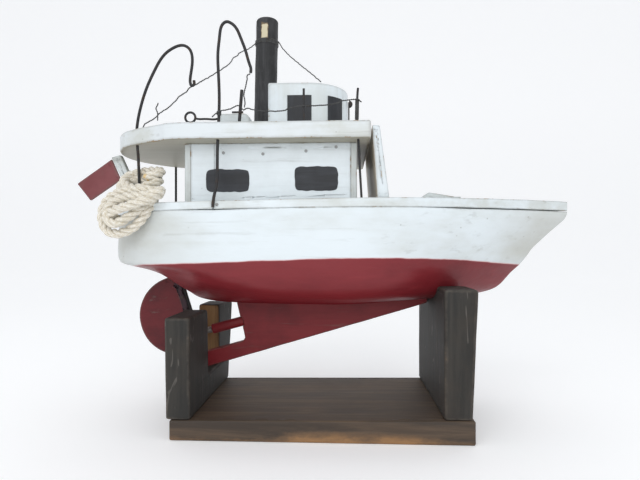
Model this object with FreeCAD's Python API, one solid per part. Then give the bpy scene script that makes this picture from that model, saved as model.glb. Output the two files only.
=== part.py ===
# Home-made wooden toy boat resting in its two-ended cradle stand. All sizes in millimetres.
# World frame: origin at the middle of the stand base's underside, +X to the bow, +Y to port, +Z up.
# The boat's pieces are drawn in the boat's own frame (x from amidships, y from the centreline, z from
# a level plane between keel and rail) and then set into the cradle by BOAT_AT.
import math
import os
import FreeCAD, Part
from FreeCAD import Vector

BOAT_AT = Vector(24.0, 13.5, 208.5)

# stand (world frame)
BASE_LENGTH, BASE_WIDTH, BASE_THICK_AFT, BASE_THICK_FORE = 328.0, 181.0, 21.8, 25.8
FOOT_Z = 10.0
AFT_CRADLE_FOOT, AFT_CRADLE_HEAD, AFT_CRADLE_TOP = (-168.2, -141.2), (-169.8, -142.4), 132.8
AFT_FAR_HEAD_X = -134.6
NOTCH_WIDTH, NOTCH_BOTTOM = 53.4, 53.0
FORE_CRADLE_FOOT, FORE_CRADLE_HEAD, FORE_CRADLE_TOP = (131.2, 160.6), (131.2, 167.2), 164.5
REST_GAP = 0.4
STAND_NAIL_REACH = 36.0

# hull levels (boat frame): height, stern end, bow end, half breadth, length of the rounded stern
HULL_LEVELS = [
    (64.0, -279.0, 279.0, 108.0, 108.0),
    (51.0, -279.0, 278.0, 108.0, 108.0),
    (42.0, -280.0, 276.0, 108.0, 107.0),
    (20.0, -280.5, 253.6, 108.0, 104.0),
    (0.0, -281.0, 235.0, 108.0, 102.0),
    (-12.0, -280.5, 226.5, 107.5, 102.0),
    (-19.0, -276.5, 221.0, 107.0, 102.0),
    (-22.0, -259.0, 218.0, 106.8, 101.0),
    (-26.0, -242.5, 213.5, 106.0, 107.0),
    (-31.0, -231.0, 208.0, 105.0, 114.0),
    (-37.5, -221.5, 202.5, 102.5, 123.0),
    (-45.0, -211.5, 196.0, 98.0, 135.0),
    (-51.0, -203.0, 188.0, 92.0, 144.0),
    (-56.0, -195.0, 172.0, 85.5, 148.0),
    (-60.0, -190.5, 145.0, 77.5, 152.0),
    (-63.5, -183.0, 110.0, 69.0, 155.0),
    (-65.0, -172.0, 80.0, 61.0, 150.0),
]
SHOULDER_X = -12.0
BOW_FULLNESS = 1.7
NOSE_HALF = 2.5
SHEER = [(-300.0, 47.5), (-139.0, 50.5), (0.0, 53.5), (150.0, 55.8), (300.0, 57.6)]
DECK_UNDERSIDE = [(-300.0, 38.5), (-139.0, 41.5), (0.0, 43.8), (104.0, 44.8), (200.0, 45.6),
                  (300.0, 46.4)]
PAINT_LINE = [(-300.0, -46.0), (-270.0, -31.0), (-245.0, -21.5), (-220.0, -18.4), (-153.0, -16.1),
              (-88.0, -13.6), (0.0, -11.0), (60.0, -10.8), (138.6, -13.7), (217.0, -20.6), (300.0, -32.0)]
DECK_BUTT_X = -139.0

# keel, propeller and rudder (boat frame)
FIN_THICK = 12.0
SHOE_END_X = -185.0
FIN_SLOPE = 0.298
FIN_BOTTOM_X, FIN_BOTTOM_Z = 93.8, -72.0
TUBE_RADIUS, TUBE_START, TUBE_END = 6.3, Vector(-127.0, 0.0, -93.2), Vector(-167.0, 0.0, -104.0)
PROPELLER_RADIUS, PROPELLER_NAIL_R, RUN_CLEAR = 16.0, 1.2, 0.06
RUDDER_CENTRE, RUDDER_RADIUS, RUDDER_THICK = Vector(-211.5, 0.0, -86.8), 50.5, 8.0
RUDDER_EDGE_TOP, RUDDER_EDGE_LOW = Vector(-202.2, 0.0, -45.0), Vector(-173.2, 0.0, -137.0)
STOCK_RADIUS, STOCK_INSET, EDGE_STRIP = 2.5, 5.0, 12.0
RUDDER_SWING = 30.0

# cabin, roof and wheelhouse (boat frame)
WALL_Y, WALL_THICK = 85.0, 8.0
CABIN_AFT_X, CABIN_FORE_X, END_WALL_THICK = -177.0, 15.5, 7.0
WALL_JOINT_X = -143.0
ROOF_LOW, ROOF_TOP, ROOF_HALF, ROOF_FORE_X = 116.6, 135.0, 110.0, 29.7
ROOF_CURVE_X, ROOF_CURVE_LENGTH = -150.0, 130.0
WINDOWS = [(-152.6, -104.0, 62.5, 87.7), (-53.5, -5.4, 63.4, 90.2)]
WINDOW_RADIUS, PAINT_THICK = 9.0, 0.6
WALL_NAILS = [(-133.1, 105.9), (-88.8, 104.4), (-40.9, 107.3), (-7.6, 111.4)]
SHIELD = [(31.7, 134.5), (40.2, 134.0), (50.7, 54.0), (37.6, 54.0)]
SHIELD_HALF = 90.0
HOUSE_AFT_X, HOUSE_CURVE_X, HOUSE_RADIUS, HOUSE_TOP = -88.8, -44.0, 50.0, 195.5
CHIMNEY_RADIUS, CHIMNEY_FOOT, CHIMNEY_HEAD = 14.3, Vector(-102.4, 14.0, 135.0), Vector(-98.9, 14.0, 297.0)

# rods and wires (boat frame)
ROD_RADIUS, THIN_ROD_RADIUS, STOUT_POST_RADIUS, WIRE_RADIUS = 1.6, 1.25, 1.75, 0.6
WRAP_PITCH, WRAP_WIRE, WRAP_SLACK = 1.4, 0.9, 0.08
DAVIT_AFT_Y, DAVIT_MID_Y, RAIL_POST_Y = -78.0, -104.0, -100.0
ROPE_HANK_AT, ROPE_HANK_HALF, ROPE_HANK_TURN = Vector(-228.5, -107.0, 48.3), (40.5, 20.5, 39.5), -20.0

# pieces cut away where a second one passes through or lies against them
LET_THROUGH = [
    ("cabin_starboard_long_plank", "boat_nails"), ("fore_deck_board", "boat_nails"),
    ("wheelhouse", "chimney"), ("wheelhouse", "fore_stay_wire"), ("chimney", "aft_stay_wire"),
    ("chimney", "fore_stay_wire"), ("chimney_wire_band", "aft_stay_wire"),
    ("chimney_wire_band", "fore_stay_wire"), ("ring_eye", "davit_middle"),
    ("davit_middle", "lifeline_wire"),
]

# how a rod is bent: straight runs for each stretch between its points, and the bend too small to make
RUNS_PER_STRETCH, LEAST_BEND, BEND_SHARE = 3, 0.012, 0.48


def outline_at(z, stern_x, bow_x, half, round_length):
    """One level line of the hull: rounded stern, straight sides, bow drawn in to a narrow nose."""
    curve_x = stern_x + round_length
    stern_points = []
    for step in range(9):
        turn = math.pi * (0.5 + step / 8.0)
        stern_points.append(Vector(curve_x + round_length * math.cos(turn), half * math.sin(turn), z))
    stern = Part.BSplineCurve()
    stern.interpolate(stern_points, InitialTangent=Vector(-1, 0, 0), FinalTangent=Vector(1, 0, 0))
    near_points = []
    for step in range(6):
        along = step / 5.0
        x = SHOULDER_X + (bow_x - SHOULDER_X) * along
        y = NOSE_HALF + (half - NOSE_HALF) * (1.0 - along ** BOW_FULLNESS)
        near_points.append(Vector(x, -y, z))
    far_points = [Vector(p.x, -p.y, z) for p in reversed(near_points)]
    near = Part.BSplineCurve()
    near.interpolate(near_points)
    far = Part.BSplineCurve()
    far.interpolate(far_points)
    edges = [
        stern.toShape(),
        Part.makeLine(stern_points[-1], near_points[0]),
        near.toShape(),
        Part.makeLine(near_points[-1], far_points[0]),
        far.toShape(),
        Part.makeLine(far_points[-1], stern_points[0]),
    ]
    return Part.Wire(edges)


def whole_hull():
    wires = [outline_at(*level) for level in HULL_LEVELS]
    return Part.makeLoft(wires, True, True)


def spline_edge(points):
    curve = Part.BSplineCurve()
    curve.interpolate(points)
    return curve.toShape()


def below(line):
    """A block of everything under a fore-and-aft height line."""
    top = [Vector(x, -200.0, z) for x, z in line]
    low_fore = Vector(top[-1].x, -200.0, -400.0)
    low_aft = Vector(top[0].x, -200.0, -400.0)
    edges = [
        spline_edge(top),
        Part.makeLine(top[-1], low_fore),
        Part.makeLine(low_fore, low_aft),
        Part.makeLine(low_aft, top[0]),
    ]
    return Part.Face(Part.Wire(edges)).extrude(Vector(0, 400.0, 0))


def side_board(points, y_low, y_high):
    """A board with a straight-edged outline in the X-Z plane, between two Y values."""
    corners = [Vector(x, y_low, z) for x, z in points]
    face = Part.Face(Part.makePolygon(corners + [corners[0]]))
    return face.extrude(Vector(0, y_high - y_low, 0))


def box(x_low, x_high, y_low, y_high, z_low, z_high):
    corner = Vector(x_low, y_low, z_low)
    return Part.makeBox(x_high - x_low, y_high - y_low, z_high - z_low, corner)


def rounded(solid, radius, wanted):
    """Round the edges that wanted(edge) picks."""
    return solid.makeFillet(radius, [edge for edge in solid.Edges if wanted(edge)])


def runs_along(edge, axis):
    if len(edge.Vertexes) < 2:
        return False
    way = edge.Vertexes[-1].Point - edge.Vertexes[0].Point
    return way.Length > 0.1 and abs(way.normalize().dot(axis)) > 0.999


def rod(start, end, radius):
    return Part.makeCylinder(radius, (end - start).Length, start, end - start)


def corners_along(points):
    """Points close together on the smooth curve through the given ones, without those that barely bend."""
    curve = Part.BSplineCurve()
    curve.interpolate(points)
    dense = curve.discretize(Number=RUNS_PER_STRETCH * (len(points) - 1) + 1)
    kept = [dense[0]]
    for corner, after in zip(dense[1:], dense[2:]):
        if (corner - kept[-1]).getAngle(after - corner) > LEAST_BEND:
            kept.append(corner)
    return kept + [dense[-1]]


def bent_rod(points, radius):
    """A round rod or wire bent smoothly through the points: straight runs joined by round bends."""
    corners = corners_along(points)
    edges = []
    reached = corners[0]
    for before, corner, after in zip(corners, corners[1:], corners[2:]):
        arriving = (corner - before).normalize()
        leaving = (after - corner).normalize()
        half_bend = arriving.getAngle(leaving) / 2
        reach = BEND_SHARE * min((corner - before).Length, (after - corner).Length)
        bend_radius = reach / math.tan(half_bend)
        towards = (leaving - arriving).normalize()
        middle = corner + towards * (bend_radius / math.cos(half_bend) - bend_radius)
        start = corner - arriving * reach
        end = corner + leaving * reach
        edges.append(Part.makeLine(reached, start))
        edges.append(Part.Arc(start, middle, end).toShape())
        reached = end
    edges.append(Part.makeLine(reached, corners[-1]))
    ring = Part.makeCircle(radius, corners[0], corners[1] - corners[0])
    return Part.Wire(edges).makePipe(Part.Face(Part.Wire(ring)))


def nail(head_at, way, length):
    """A nail: a thin shank running along way from its flat head."""
    shank = Part.makeCylinder(0.8, length, head_at, way)
    head = Part.makeCylinder(1.7, 0.7, head_at - way * 0.7, way)
    return head.fuse(shank).removeSplitter()


def compound(shapes):
    return Part.makeCompound(shapes)


def rounded_panel(x_low, x_high, z_low, z_high, y_face, way):
    """A thin painted panel with round corners lying on a cabin side."""
    y_low, y_high = sorted((y_face, y_face + way * PAINT_THICK))
    plate = box(x_low, x_high, y_low, y_high, z_low, z_high)
    return rounded(plate, WINDOW_RADIUS, lambda edge: runs_along(edge, Vector(0, 1, 0)))


# ---------------------------------------------------------------- stand

def level_face(x_low, x_high, y_low, y_high, z):
    corners = [Vector(x_low, y_low, z), Vector(x_high, y_low, z), Vector(x_high, y_high, z),
               Vector(x_low, y_high, z)]
    return Part.makePolygon(corners + [corners[0]])


def upright(foot, head, y_low, y_high, top):
    """An upright board whose fore and aft faces lean a little: foot and head are its two X values."""
    ends = [level_face(*foot, y_low, y_high, FOOT_Z), level_face(*head, y_low, y_high, top)]
    return Part.makeLoft(ends, True, True)


def aft_cradle():
    """The aft board: a sawn notch between two prongs, the far prong thicker towards its outer top corner."""
    notch_y = BOAT_AT.y - NOTCH_WIDTH / 2
    far_y = notch_y + NOTCH_WIDTH
    near = upright(AFT_CRADLE_FOOT, AFT_CRADLE_HEAD, -BASE_WIDTH / 2, far_y, AFT_CRADLE_TOP)
    low, high = AFT_CRADLE_FOOT, AFT_CRADLE_HEAD
    head = Part.makePolygon([
        Vector(high[0], far_y, AFT_CRADLE_TOP), Vector(high[1], far_y, AFT_CRADLE_TOP),
        Vector(AFT_FAR_HEAD_X, BASE_WIDTH / 2, AFT_CRADLE_TOP),
        Vector(high[0], BASE_WIDTH / 2, AFT_CRADLE_TOP),
        Vector(high[0], far_y, AFT_CRADLE_TOP)])
    far = Part.makeLoft([level_face(*low, far_y, BASE_WIDTH / 2, FOOT_Z), head], True, True)
    notch = box(low[0] - 5, low[1] + 5, notch_y, far_y, NOTCH_BOTTOM, AFT_CRADLE_TOP + 5)
    return near.fuse(far).cut(notch)


def base_block(half_length, half_width):
    """Everything under the base's top face, which rises a little from aft to fore."""
    rise = (BASE_THICK_FORE - BASE_THICK_AFT) / BASE_LENGTH
    middle = (BASE_THICK_FORE + BASE_THICK_AFT) / 2
    side = [(-half_length, 0.0), (half_length, 0.0), (half_length, middle + rise * half_length),
            (-half_length, middle - rise * half_length)]
    return side_board(side, -half_width, half_width)


def stand_parts(hull):
    base = rounded(base_block(BASE_LENGTH / 2, BASE_WIDTH / 2), 1.2, lambda edge: True)
    below_top = base_block(BASE_LENGTH, BASE_WIDTH)
    aft = aft_cradle().cut(below_top)
    fore = upright(FORE_CRADLE_FOOT, FORE_CRADLE_HEAD, -BASE_WIDTH / 2, BASE_WIDTH / 2, FORE_CRADLE_TOP)
    fore = fore.cut(below_top).cut(hull.translated(BOAT_AT - Vector(0, 0, REST_GAP)))
    nails = []
    for foot in (AFT_CRADLE_FOOT, FORE_CRADLE_FOOT):
        for y in (-0.34 * BASE_WIDTH, 0.0, 0.34 * BASE_WIDTH):
            nails.append(nail(Vector((foot[0] + foot[1]) / 2, y, 0.8), Vector(0, 0, 1), STAND_NAIL_REACH))
    group = compound(nails)
    return {
        "stand_base": base.cut(group),
        "aft_cradle_board": aft.cut(group),
        "fore_cradle_board": fore.cut(group),
        "stand_nails": group,
    }


# ---------------------------------------------------------------- hull and deck

def hull_parts(hull, stock_bore, deck_rods):
    under_deck = below(DECK_UNDERSIDE)
    body = hull.common(under_deck)
    lower_side = below(PAINT_LINE)
    deck = hull.common(below(SHEER)).cut(under_deck)
    aft_space = box(-400, DECK_BUTT_X, -200, 200, -100, 200)
    return {
        "hull_upper_lift": body.cut(lower_side).cut(stock_bore),
        "hull_bottom_lift": body.common(lower_side).cut(stock_bore),
        "fore_deck_board": deck.cut(aft_space).cut(deck_rods),
        "aft_deck_board": deck.common(aft_space).cut(deck_rods),
    }


def fin_bottom(x):
    return FIN_BOTTOM_Z + (x - FIN_BOTTOM_X) * FIN_SLOPE


def keel_fin(hull, tube, stock_bore):
    points = [
        (-137.5, -52.0), (-135.0, -70.0), (-124.5, -114.0), (-127.0, -118.5),
        (SHOE_END_X, -134.8), (SHOE_END_X, fin_bottom(SHOE_END_X)), (106.0, fin_bottom(106.0)),
        (106.0, -52.0),
    ]
    board = side_board(points, -FIN_THICK / 2, FIN_THICK / 2)
    return board.cut(hull).cut(tube).cut(stock_bore)


# ---------------------------------------------------------------- propeller and rudder

def propeller_parts():
    way = (TUBE_END - TUBE_START).normalize()
    tube = rod(TUBE_START, TUBE_END, TUBE_RADIUS)
    pin_end = TUBE_END + way * 9.2
    pin = rod(TUBE_END - way * 18.0, pin_end, PROPELLER_NAIL_R)
    pin = pin.fuse(Part.makeCylinder(2.6, 1.2, pin_end, way)).removeSplitter()
    hub_start = TUBE_END + way * 1.6
    hub = Part.makeCylinder(4.0, 7.0, hub_start, way)
    middle = hub_start + way * 3.5
    screw = hub
    tilt = math.degrees(math.atan2(TUBE_END.z - TUBE_START.z, TUBE_START.x - TUBE_END.x))
    for turn in (90.0, 270.0):
        blade = box(middle.x - 4.5, middle.x + 4.5, -0.6, 0.6, middle.z + 3.0, middle.z + PROPELLER_RADIUS)
        blade = rounded(blade, 3.8, lambda edge: runs_along(edge, Vector(0, 1, 0)) and edge.CenterOfMass.z
                        > middle.z + 10.0)
        blade.rotate(middle, Vector(0, 0, 1), 38.0)
        blade.rotate(middle, Vector(0, 1, 0), tilt)
        blade.rotate(middle, way, turn)
        screw = screw.fuse(blade)
    bore = Part.makeCylinder(PROPELLER_NAIL_R + RUN_CLEAR, 40.0, TUBE_END - way * 10.0, way)
    return {
        "stern_tube_dowel": tube.cut(pin),
        "propeller_nail": pin,
        "propeller": screw.cut(bore).removeSplitter(),
    }


def stock_axis():
    """Foot point and upward direction of the raked rudder stock."""
    up = (RUDDER_EDGE_TOP - RUDDER_EDGE_LOW).normalize()
    aft = Vector(-up.z, 0, up.x)
    return RUDDER_EDGE_LOW + aft * STOCK_INSET, up, aft


def rudder_parts(hull):
    foot, up, aft = stock_axis()
    disc = Part.makeCylinder(RUDDER_RADIUS, RUDDER_THICK, RUDDER_CENTRE + Vector(0, -RUDDER_THICK / 2, 0),
                             Vector(0, 1, 0))
    edge_low = RUDDER_EDGE_LOW - up * 40.0
    edge_top = RUDDER_EDGE_TOP + up * 40.0
    keep = [edge_low, edge_top, edge_top + aft * 160.0, edge_low + aft * 160.0]
    plate = disc.common(side_board([(p.x, p.z) for p in keep], -30.0, 30.0))
    split = [edge_low, edge_top, edge_top + aft * EDGE_STRIP, edge_low + aft * EDGE_STRIP]
    strip_space = side_board([(p.x, p.z) for p in split], -30.0, 30.0)
    for step in range(-3, 4):
        swung = hull.translated(Vector(0, 0, -1.0))
        swung.rotate(foot, up, step * RUDDER_SWING / 3.0)
        plate = plate.cut(swung)
    stock = rod(foot + up * 2.5, foot + up * 118.0, STOCK_RADIUS)
    strip = plate.common(strip_space).cut(stock)
    nails = []
    for along in (0.2, 0.42, 0.64, 0.82):
        spot = RUDDER_EDGE_LOW + up * (along * 98.0) + aft * 0.82 * EDGE_STRIP
        nails.append(nail(Vector(spot.x, -RUDDER_THICK / 2 + 0.2, spot.z), Vector(0, 1, 0), 6.0))
    group = compound(nails)
    return {
        "rudder_blade": plate.cut(strip_space).cut(group),
        "rudder_edge_strip": strip.cut(group),
        "rudder_stock": stock,
        "rudder_nails": group,
    }


# ---------------------------------------------------------------- cabin, roof, wheelhouse

def cabin_parts():
    above_deck = below(SHEER)
    base_z = 40.0
    parts = {}
    inner_aft = CABIN_AFT_X + END_WALL_THICK
    inner_fore = CABIN_FORE_X - END_WALL_THICK
    for side, low, high in (("starboard", -WALL_Y, -WALL_Y + WALL_THICK),
                            ("port", WALL_Y - WALL_THICK, WALL_Y)):
        short = box(inner_aft, WALL_JOINT_X, low, high, base_z, ROOF_LOW)
        long = box(WALL_JOINT_X, inner_fore, low, high, base_z, ROOF_LOW)
        parts["cabin_%s_short_plank" % side] = short.cut(above_deck)
        parts["cabin_%s_long_plank" % side] = long.cut(above_deck)
    aft = box(CABIN_AFT_X, inner_aft, -WALL_Y, WALL_Y, base_z, ROOF_LOW)
    fore = box(inner_fore, CABIN_FORE_X, -WALL_Y, WALL_Y, base_z, ROOF_LOW)
    parts["cabin_aft_wall"] = aft.cut(above_deck)
    parts["cabin_fore_wall"] = fore.cut(above_deck)
    for side, face, way in (("starboard", -WALL_Y, -1), ("port", WALL_Y, 1)):
        panels = [rounded_panel(a, b, c, d, face, way) for a, b, c, d in WINDOWS]
        parts["cabin_%s_windows" % side] = compound(panels)
    parts["windshield_board"] = side_board(SHIELD, -SHIELD_HALF, SHIELD_HALF).cut(above_deck)
    return parts


def roof_slab(rods):
    outline = []
    for step in range(9):
        turn = math.pi * (0.5 + step / 8.0)
        outline.append(Vector(ROOF_CURVE_X + ROOF_CURVE_LENGTH * math.cos(turn), ROOF_HALF * math.sin(turn),
                              ROOF_LOW))
    stern = Part.BSplineCurve()
    stern.interpolate(outline, InitialTangent=Vector(-1, 0, 0), FinalTangent=Vector(1, 0, 0))
    near_fore = Vector(ROOF_FORE_X, -ROOF_HALF, ROOF_LOW)
    far_fore = Vector(ROOF_FORE_X, ROOF_HALF, ROOF_LOW)
    edges = [
        stern.toShape(),
        Part.makeLine(outline[-1], near_fore),
        Part.makeLine(near_fore, far_fore),
        Part.makeLine(far_fore, outline[0]),
    ]
    slab = Part.Face(Part.Wire(edges)).extrude(Vector(0, 0, ROOF_TOP - ROOF_LOW))
    slab = rounded(slab, 1.2, lambda edge: abs(edge.BoundBox.ZMax - edge.BoundBox.ZMin) < 0.01)
    return slab.cut(rods)


def wheelhouse_parts():
    height = HOUSE_TOP - ROOF_TOP
    front = Part.makeCylinder(HOUSE_RADIUS, height, Vector(HOUSE_CURVE_X, 0, ROOF_TOP))
    rear = box(HOUSE_AFT_X, HOUSE_CURVE_X, -HOUSE_RADIUS, HOUSE_RADIUS, ROOF_TOP, HOUSE_TOP)
    aft_space = box(-200, HOUSE_CURVE_X, -100, 100, 100, 250)
    house = front.cut(aft_space).fuse(rear).removeSplitter()
    house = rounded(house, 2.0, lambda edge: edge.BoundBox.ZMin > HOUSE_TOP - 0.01)
    skin = Part.makeCylinder(HOUSE_RADIUS + PAINT_THICK, 200.0, Vector(HOUSE_CURVE_X, 0, 100))
    skin = skin.cut(Part.makeCylinder(HOUSE_RADIUS, 200.0, Vector(HOUSE_CURVE_X, 0, 100)))
    panels = []
    for way in (-1, 1):
        y_low, y_high = sorted((way * HOUSE_RADIUS, way * (HOUSE_RADIUS + PAINT_THICK)))
        flat = box(-65.5, HOUSE_CURVE_X, y_low, y_high, ROOF_TOP, 180.0)
        wrap = skin.common(box(HOUSE_CURVE_X, -37.0, *sorted((0.0, way * 60.0)), ROOF_TOP, 180.0))
        panels.append(flat.fuse(wrap).removeSplitter())
        panels.append(skin.common(box(-18.0, -1.0, *sorted((way * 20.0, way * 60.0)), ROOF_TOP, 181.0)))
    post = rod(Vector(HOUSE_CURVE_X + HOUSE_RADIUS + 1.4, -4.0, ROOF_TOP),
               Vector(HOUSE_CURVE_X + HOUSE_RADIUS + 1.4, -4.0, 184.0), 0.9)
    ball_at = Vector(HOUSE_CURVE_X + HOUSE_RADIUS + 1.6, -4.0, 181.5)
    shade = Part.makeSphere(4.6, ball_at).common(box(ball_at.x, ball_at.x + 9, -20, 20, 170, 190))
    return {
        "wheelhouse": house,
        "wheelhouse_windows": compound(panels),
        "wheelhouse_lamp": post.fuse(shade).removeSplitter(),
    }


def chimney():
    lean = (CHIMNEY_HEAD - CHIMNEY_FOOT).normalize()
    body = rod(CHIMNEY_FOOT - lean * 4.0, CHIMNEY_HEAD, CHIMNEY_RADIUS)
    return body.cut(box(-200, 0, -100, 100, 100, ROOF_TOP))


# ---------------------------------------------------------------- rods and wires

def davit_aft():
    points = [(-230.0, 42.0), (-231.4, 72.8), (-233.4, 111.5), (-234.6, 128.0), (-230.0, 160.0),
              (-222.1, 184.2), (-213.0, 203.4), (-202.4, 219.7), (-189.2, 228.4), (-181.7, 230.0),
              (-174.4, 226.6), (-170.5, 217.0), (-171.2, 203.0), (-173.1, 189.0), (-172.4, 184.4),
              (-170.3, 182.3), (-168.3, 184.2), (-168.5, 189.6)]
    return bent_rod([Vector(x, DAVIT_AFT_Y, z) for x, z in points], ROD_RADIUS)


def davit_mid():
    side = [(-138.8, -109.6, 43.5), (-137.3, -109.4, 55.9), (-135.6, -107.6, 65.3), (-134.9, -105.4, 85.4)]
    bow = [(-134.8, 114.8), (-133.7, 137.9), (-133.1, 162.0), (-134.3, 193.9), (-134.6, 210.0),
           (-132.6, 229.4), (-129.6, 241.2), (-126.0, 244.0), (-121.0, 242.6), (-115.6, 238.0),
           (-110.6, 227.9), (-104.1, 210.6), (-99.6, 195.6), (-98.2, 190.8), (-99.0, 188.2)]
    points = [Vector(*p) for p in side] + [Vector(x, DAVIT_MID_Y, z) for x, z in bow]
    return bent_rod(points, ROD_RADIUS)


def fore_post():
    points = [(20.4, 44.8), (19.3, 62.0), (17.6, 94.3), (16.7, 112.5), (15.3, 126.0), (14.8, 137.6),
              (14.95, 145.0), (15.1, 152.3), (15.25, 159.6), (16.1, 171.4)]
    return bent_rod([Vector(x, RAIL_POST_Y, z) for x, z in points], THIN_ROD_RADIUS)


def wire_wrap(start, end, inner):
    """Binding wire wound close round a rod: one sleeve with a round ridge for each turn of the wire."""
    along = end - start
    turns = int(round(along.Length / WRAP_PITCH))
    pitch = along.Length / turns
    inner = inner + WRAP_SLACK
    valley, crest = inner + 0.4 * WRAP_WIRE, inner + WRAP_WIRE
    edges = [Part.makeLine(Vector(inner, 0, 0), Vector(valley, 0, 0))]
    for turn in range(turns):
        low, high = turn * pitch, (turn + 1) * pitch
        ridge = Part.Arc(Vector(valley, 0, low), Vector(crest, 0, (low + high) / 2), Vector(valley, 0, high))
        edges.append(ridge.toShape())
    edges.append(Part.makeLine(Vector(valley, 0, along.Length), Vector(inner, 0, along.Length)))
    edges.append(Part.makeLine(Vector(inner, 0, along.Length), Vector(inner, 0, 0)))
    sleeve = Part.Face(Part.Wire(edges)).revolve(Vector(0, 0, 0), Vector(0, 0, 1), 360.0)
    sleeve.Placement = FreeCAD.Placement(start, FreeCAD.Rotation(Vector(0, 0, 1), along))
    return sleeve


def rail_parts():
    y = RAIL_POST_Y
    aft = rod(Vector(-113.2, y, ROOF_LOW + 6), Vector(-109.4, y, 171.1), STOUT_POST_RADIUS)
    mid = rod(Vector(-42.4, y, ROOF_LOW + 6), Vector(-42.2, y, 171.6), THIN_ROD_RADIUS)
    cross = rod(Vector(-119.6, y - 2.0, 146.5), Vector(-107.6, y - 2.0, 146.5), 1.1)
    far_post = rod(Vector(-240.0, 72.0, 42.0), Vector(-240.0, 72.0, ROOF_LOW + 6), ROD_RADIUS)
    lifeline = [(-142.1, -100.4, 142.3), (-134.6, -107.1, 145.2), (-129.0, -106.0, 147.4),
                (-122.0, -102.6, 149.8), (-112.6, -102.6, 153.6), (-107.4, -101.2, 149.4),
                (-102.7, -100.6, 150.9), (-92.1, -100.0, 148.9), (-79.6, -99.6, 147.9),
                (-64.4, -99.8, 148.2), (-58.9, -100.2, 150.3), (-50.6, -101.0, 151.9),
                (-42.3, -102.0, 152.6), (-34.0, -101.0, 152.8), (-17.5, -100.0, 153.6),
                (-6.5, -99.8, 155.8), (-1.0, -100.0, 157.8), (7.0, -101.4, 158.4), (15.4, -103.0, 158.4),
                (20.0, -101.6, 155.8)]
    fore_wrap = (Vector(14.8, y, 137.6), Vector(15.25, y, 159.6))
    davit_wrap = (Vector(-133.45, DAVIT_MID_Y, 143.0), Vector(-133.35, DAVIT_MID_Y, 147.4))
    return {
        "rail_post_aft": aft.cut(cross),
        "rail_post_mid": mid,
        "rail_post_cross_bar": cross,
        "port_aft_post": far_post,
        "lifeline_wire": bent_rod([Vector(*p) for p in lifeline], WIRE_RADIUS),
        "post_wire_bindings": compound([wire_wrap(*fore_wrap, THIN_ROD_RADIUS),
                                        wire_wrap(*davit_wrap, ROD_RADIUS)]),
    }


def stay_parts():
    aft_stay = [(-228.4, -76.0, 136.4), (-225.5, -76.5, 141.3), (-213.4, -77.4, 148.0),
                (-208.2, -78.0, 152.8), (-198.4, -78.0, 159.1), (-189.2, -78.0, 167.5),
                (-185.0, -78.0, 172.2), (-177.4, -78.0, 176.8), (-175.0, -76.6, 181.2),
                (-169.1, -75.6, 184.9), (-163.9, -70.0, 190.5), (-156.6, -54.0, 202.1),
                (-143.2, -30.0, 222.5), (-139.3, -23.0, 229.9), (-136.6, -18.0, 237.4),
                (-132.8, -12.0, 242.7), (-130.5, -8.0, 247.9), (-121.9, 4.0, 257.1),
                (-114.2, 13.0, 267.7)]
    fore_stay = [(-84.4, 14.0, 270.4), (-81.4, 12.0, 264.7), (-76.4, 9.0, 256.9), (-68.1, 4.0, 247.1),
                 (-53.8, -12.0, 230.0), (-40.1, -30.0, 213.5), (-25.9, -47.5, 196.0)]
    fall = [(-99.6, -103.8, 187.2), (-102.6, -103.2, 185.7), (-103.2, -103.0, 180.8),
            (-104.9, -103.0, 172.2), (-106.4, -103.0, 164.7), (-105.8, -102.8, 160.4),
            (-105.7, -102.6, 156.6), (-106.2, -102.4, 151.6)]
    tail = [(-210.1, -79.1, 144.8), (-210.0, -79.1, 150.5), (-210.4, -79.1, 155.1), (-211.4, -79.1, 158.5),
            (-209.7, -79.1, 164.5)]
    ring = Part.makeTorus(5.6, 1.25, Vector(-168.1, -93.0, 143.8), Vector(0, 1, 0))
    shank = bent_rod([Vector(-163.0, -93.0, 142.9), Vector(-158.0, -93.6, 141.8),
                      Vector(-150.6, -95.4, 141.4),
                      Vector(-142.0, -99.4, 139.8), Vector(-135.6, -104.0, 139.0)], 1.15)
    lean = (CHIMNEY_HEAD - CHIMNEY_FOOT).normalize()
    band_start = CHIMNEY_FOOT + lean * 129.0
    return {
        "aft_stay_wire": bent_rod([Vector(*p) for p in aft_stay], WIRE_RADIUS),
        "fore_stay_wire": bent_rod([Vector(*p) for p in fore_stay], WIRE_RADIUS),
        "davit_fall_wire": bent_rod([Vector(*p) for p in fall], WIRE_RADIUS),
        "stay_wire_tail": bent_rod([Vector(*p) for p in tail], WIRE_RADIUS),
        "ring_eye": ring.fuse(shank).removeSplitter(),
        "chimney_wire_band": wire_wrap(band_start, band_start + lean * 5.6, CHIMNEY_RADIUS),
    }


# ---------------------------------------------------------------- small deck pieces, flag, rope

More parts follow.
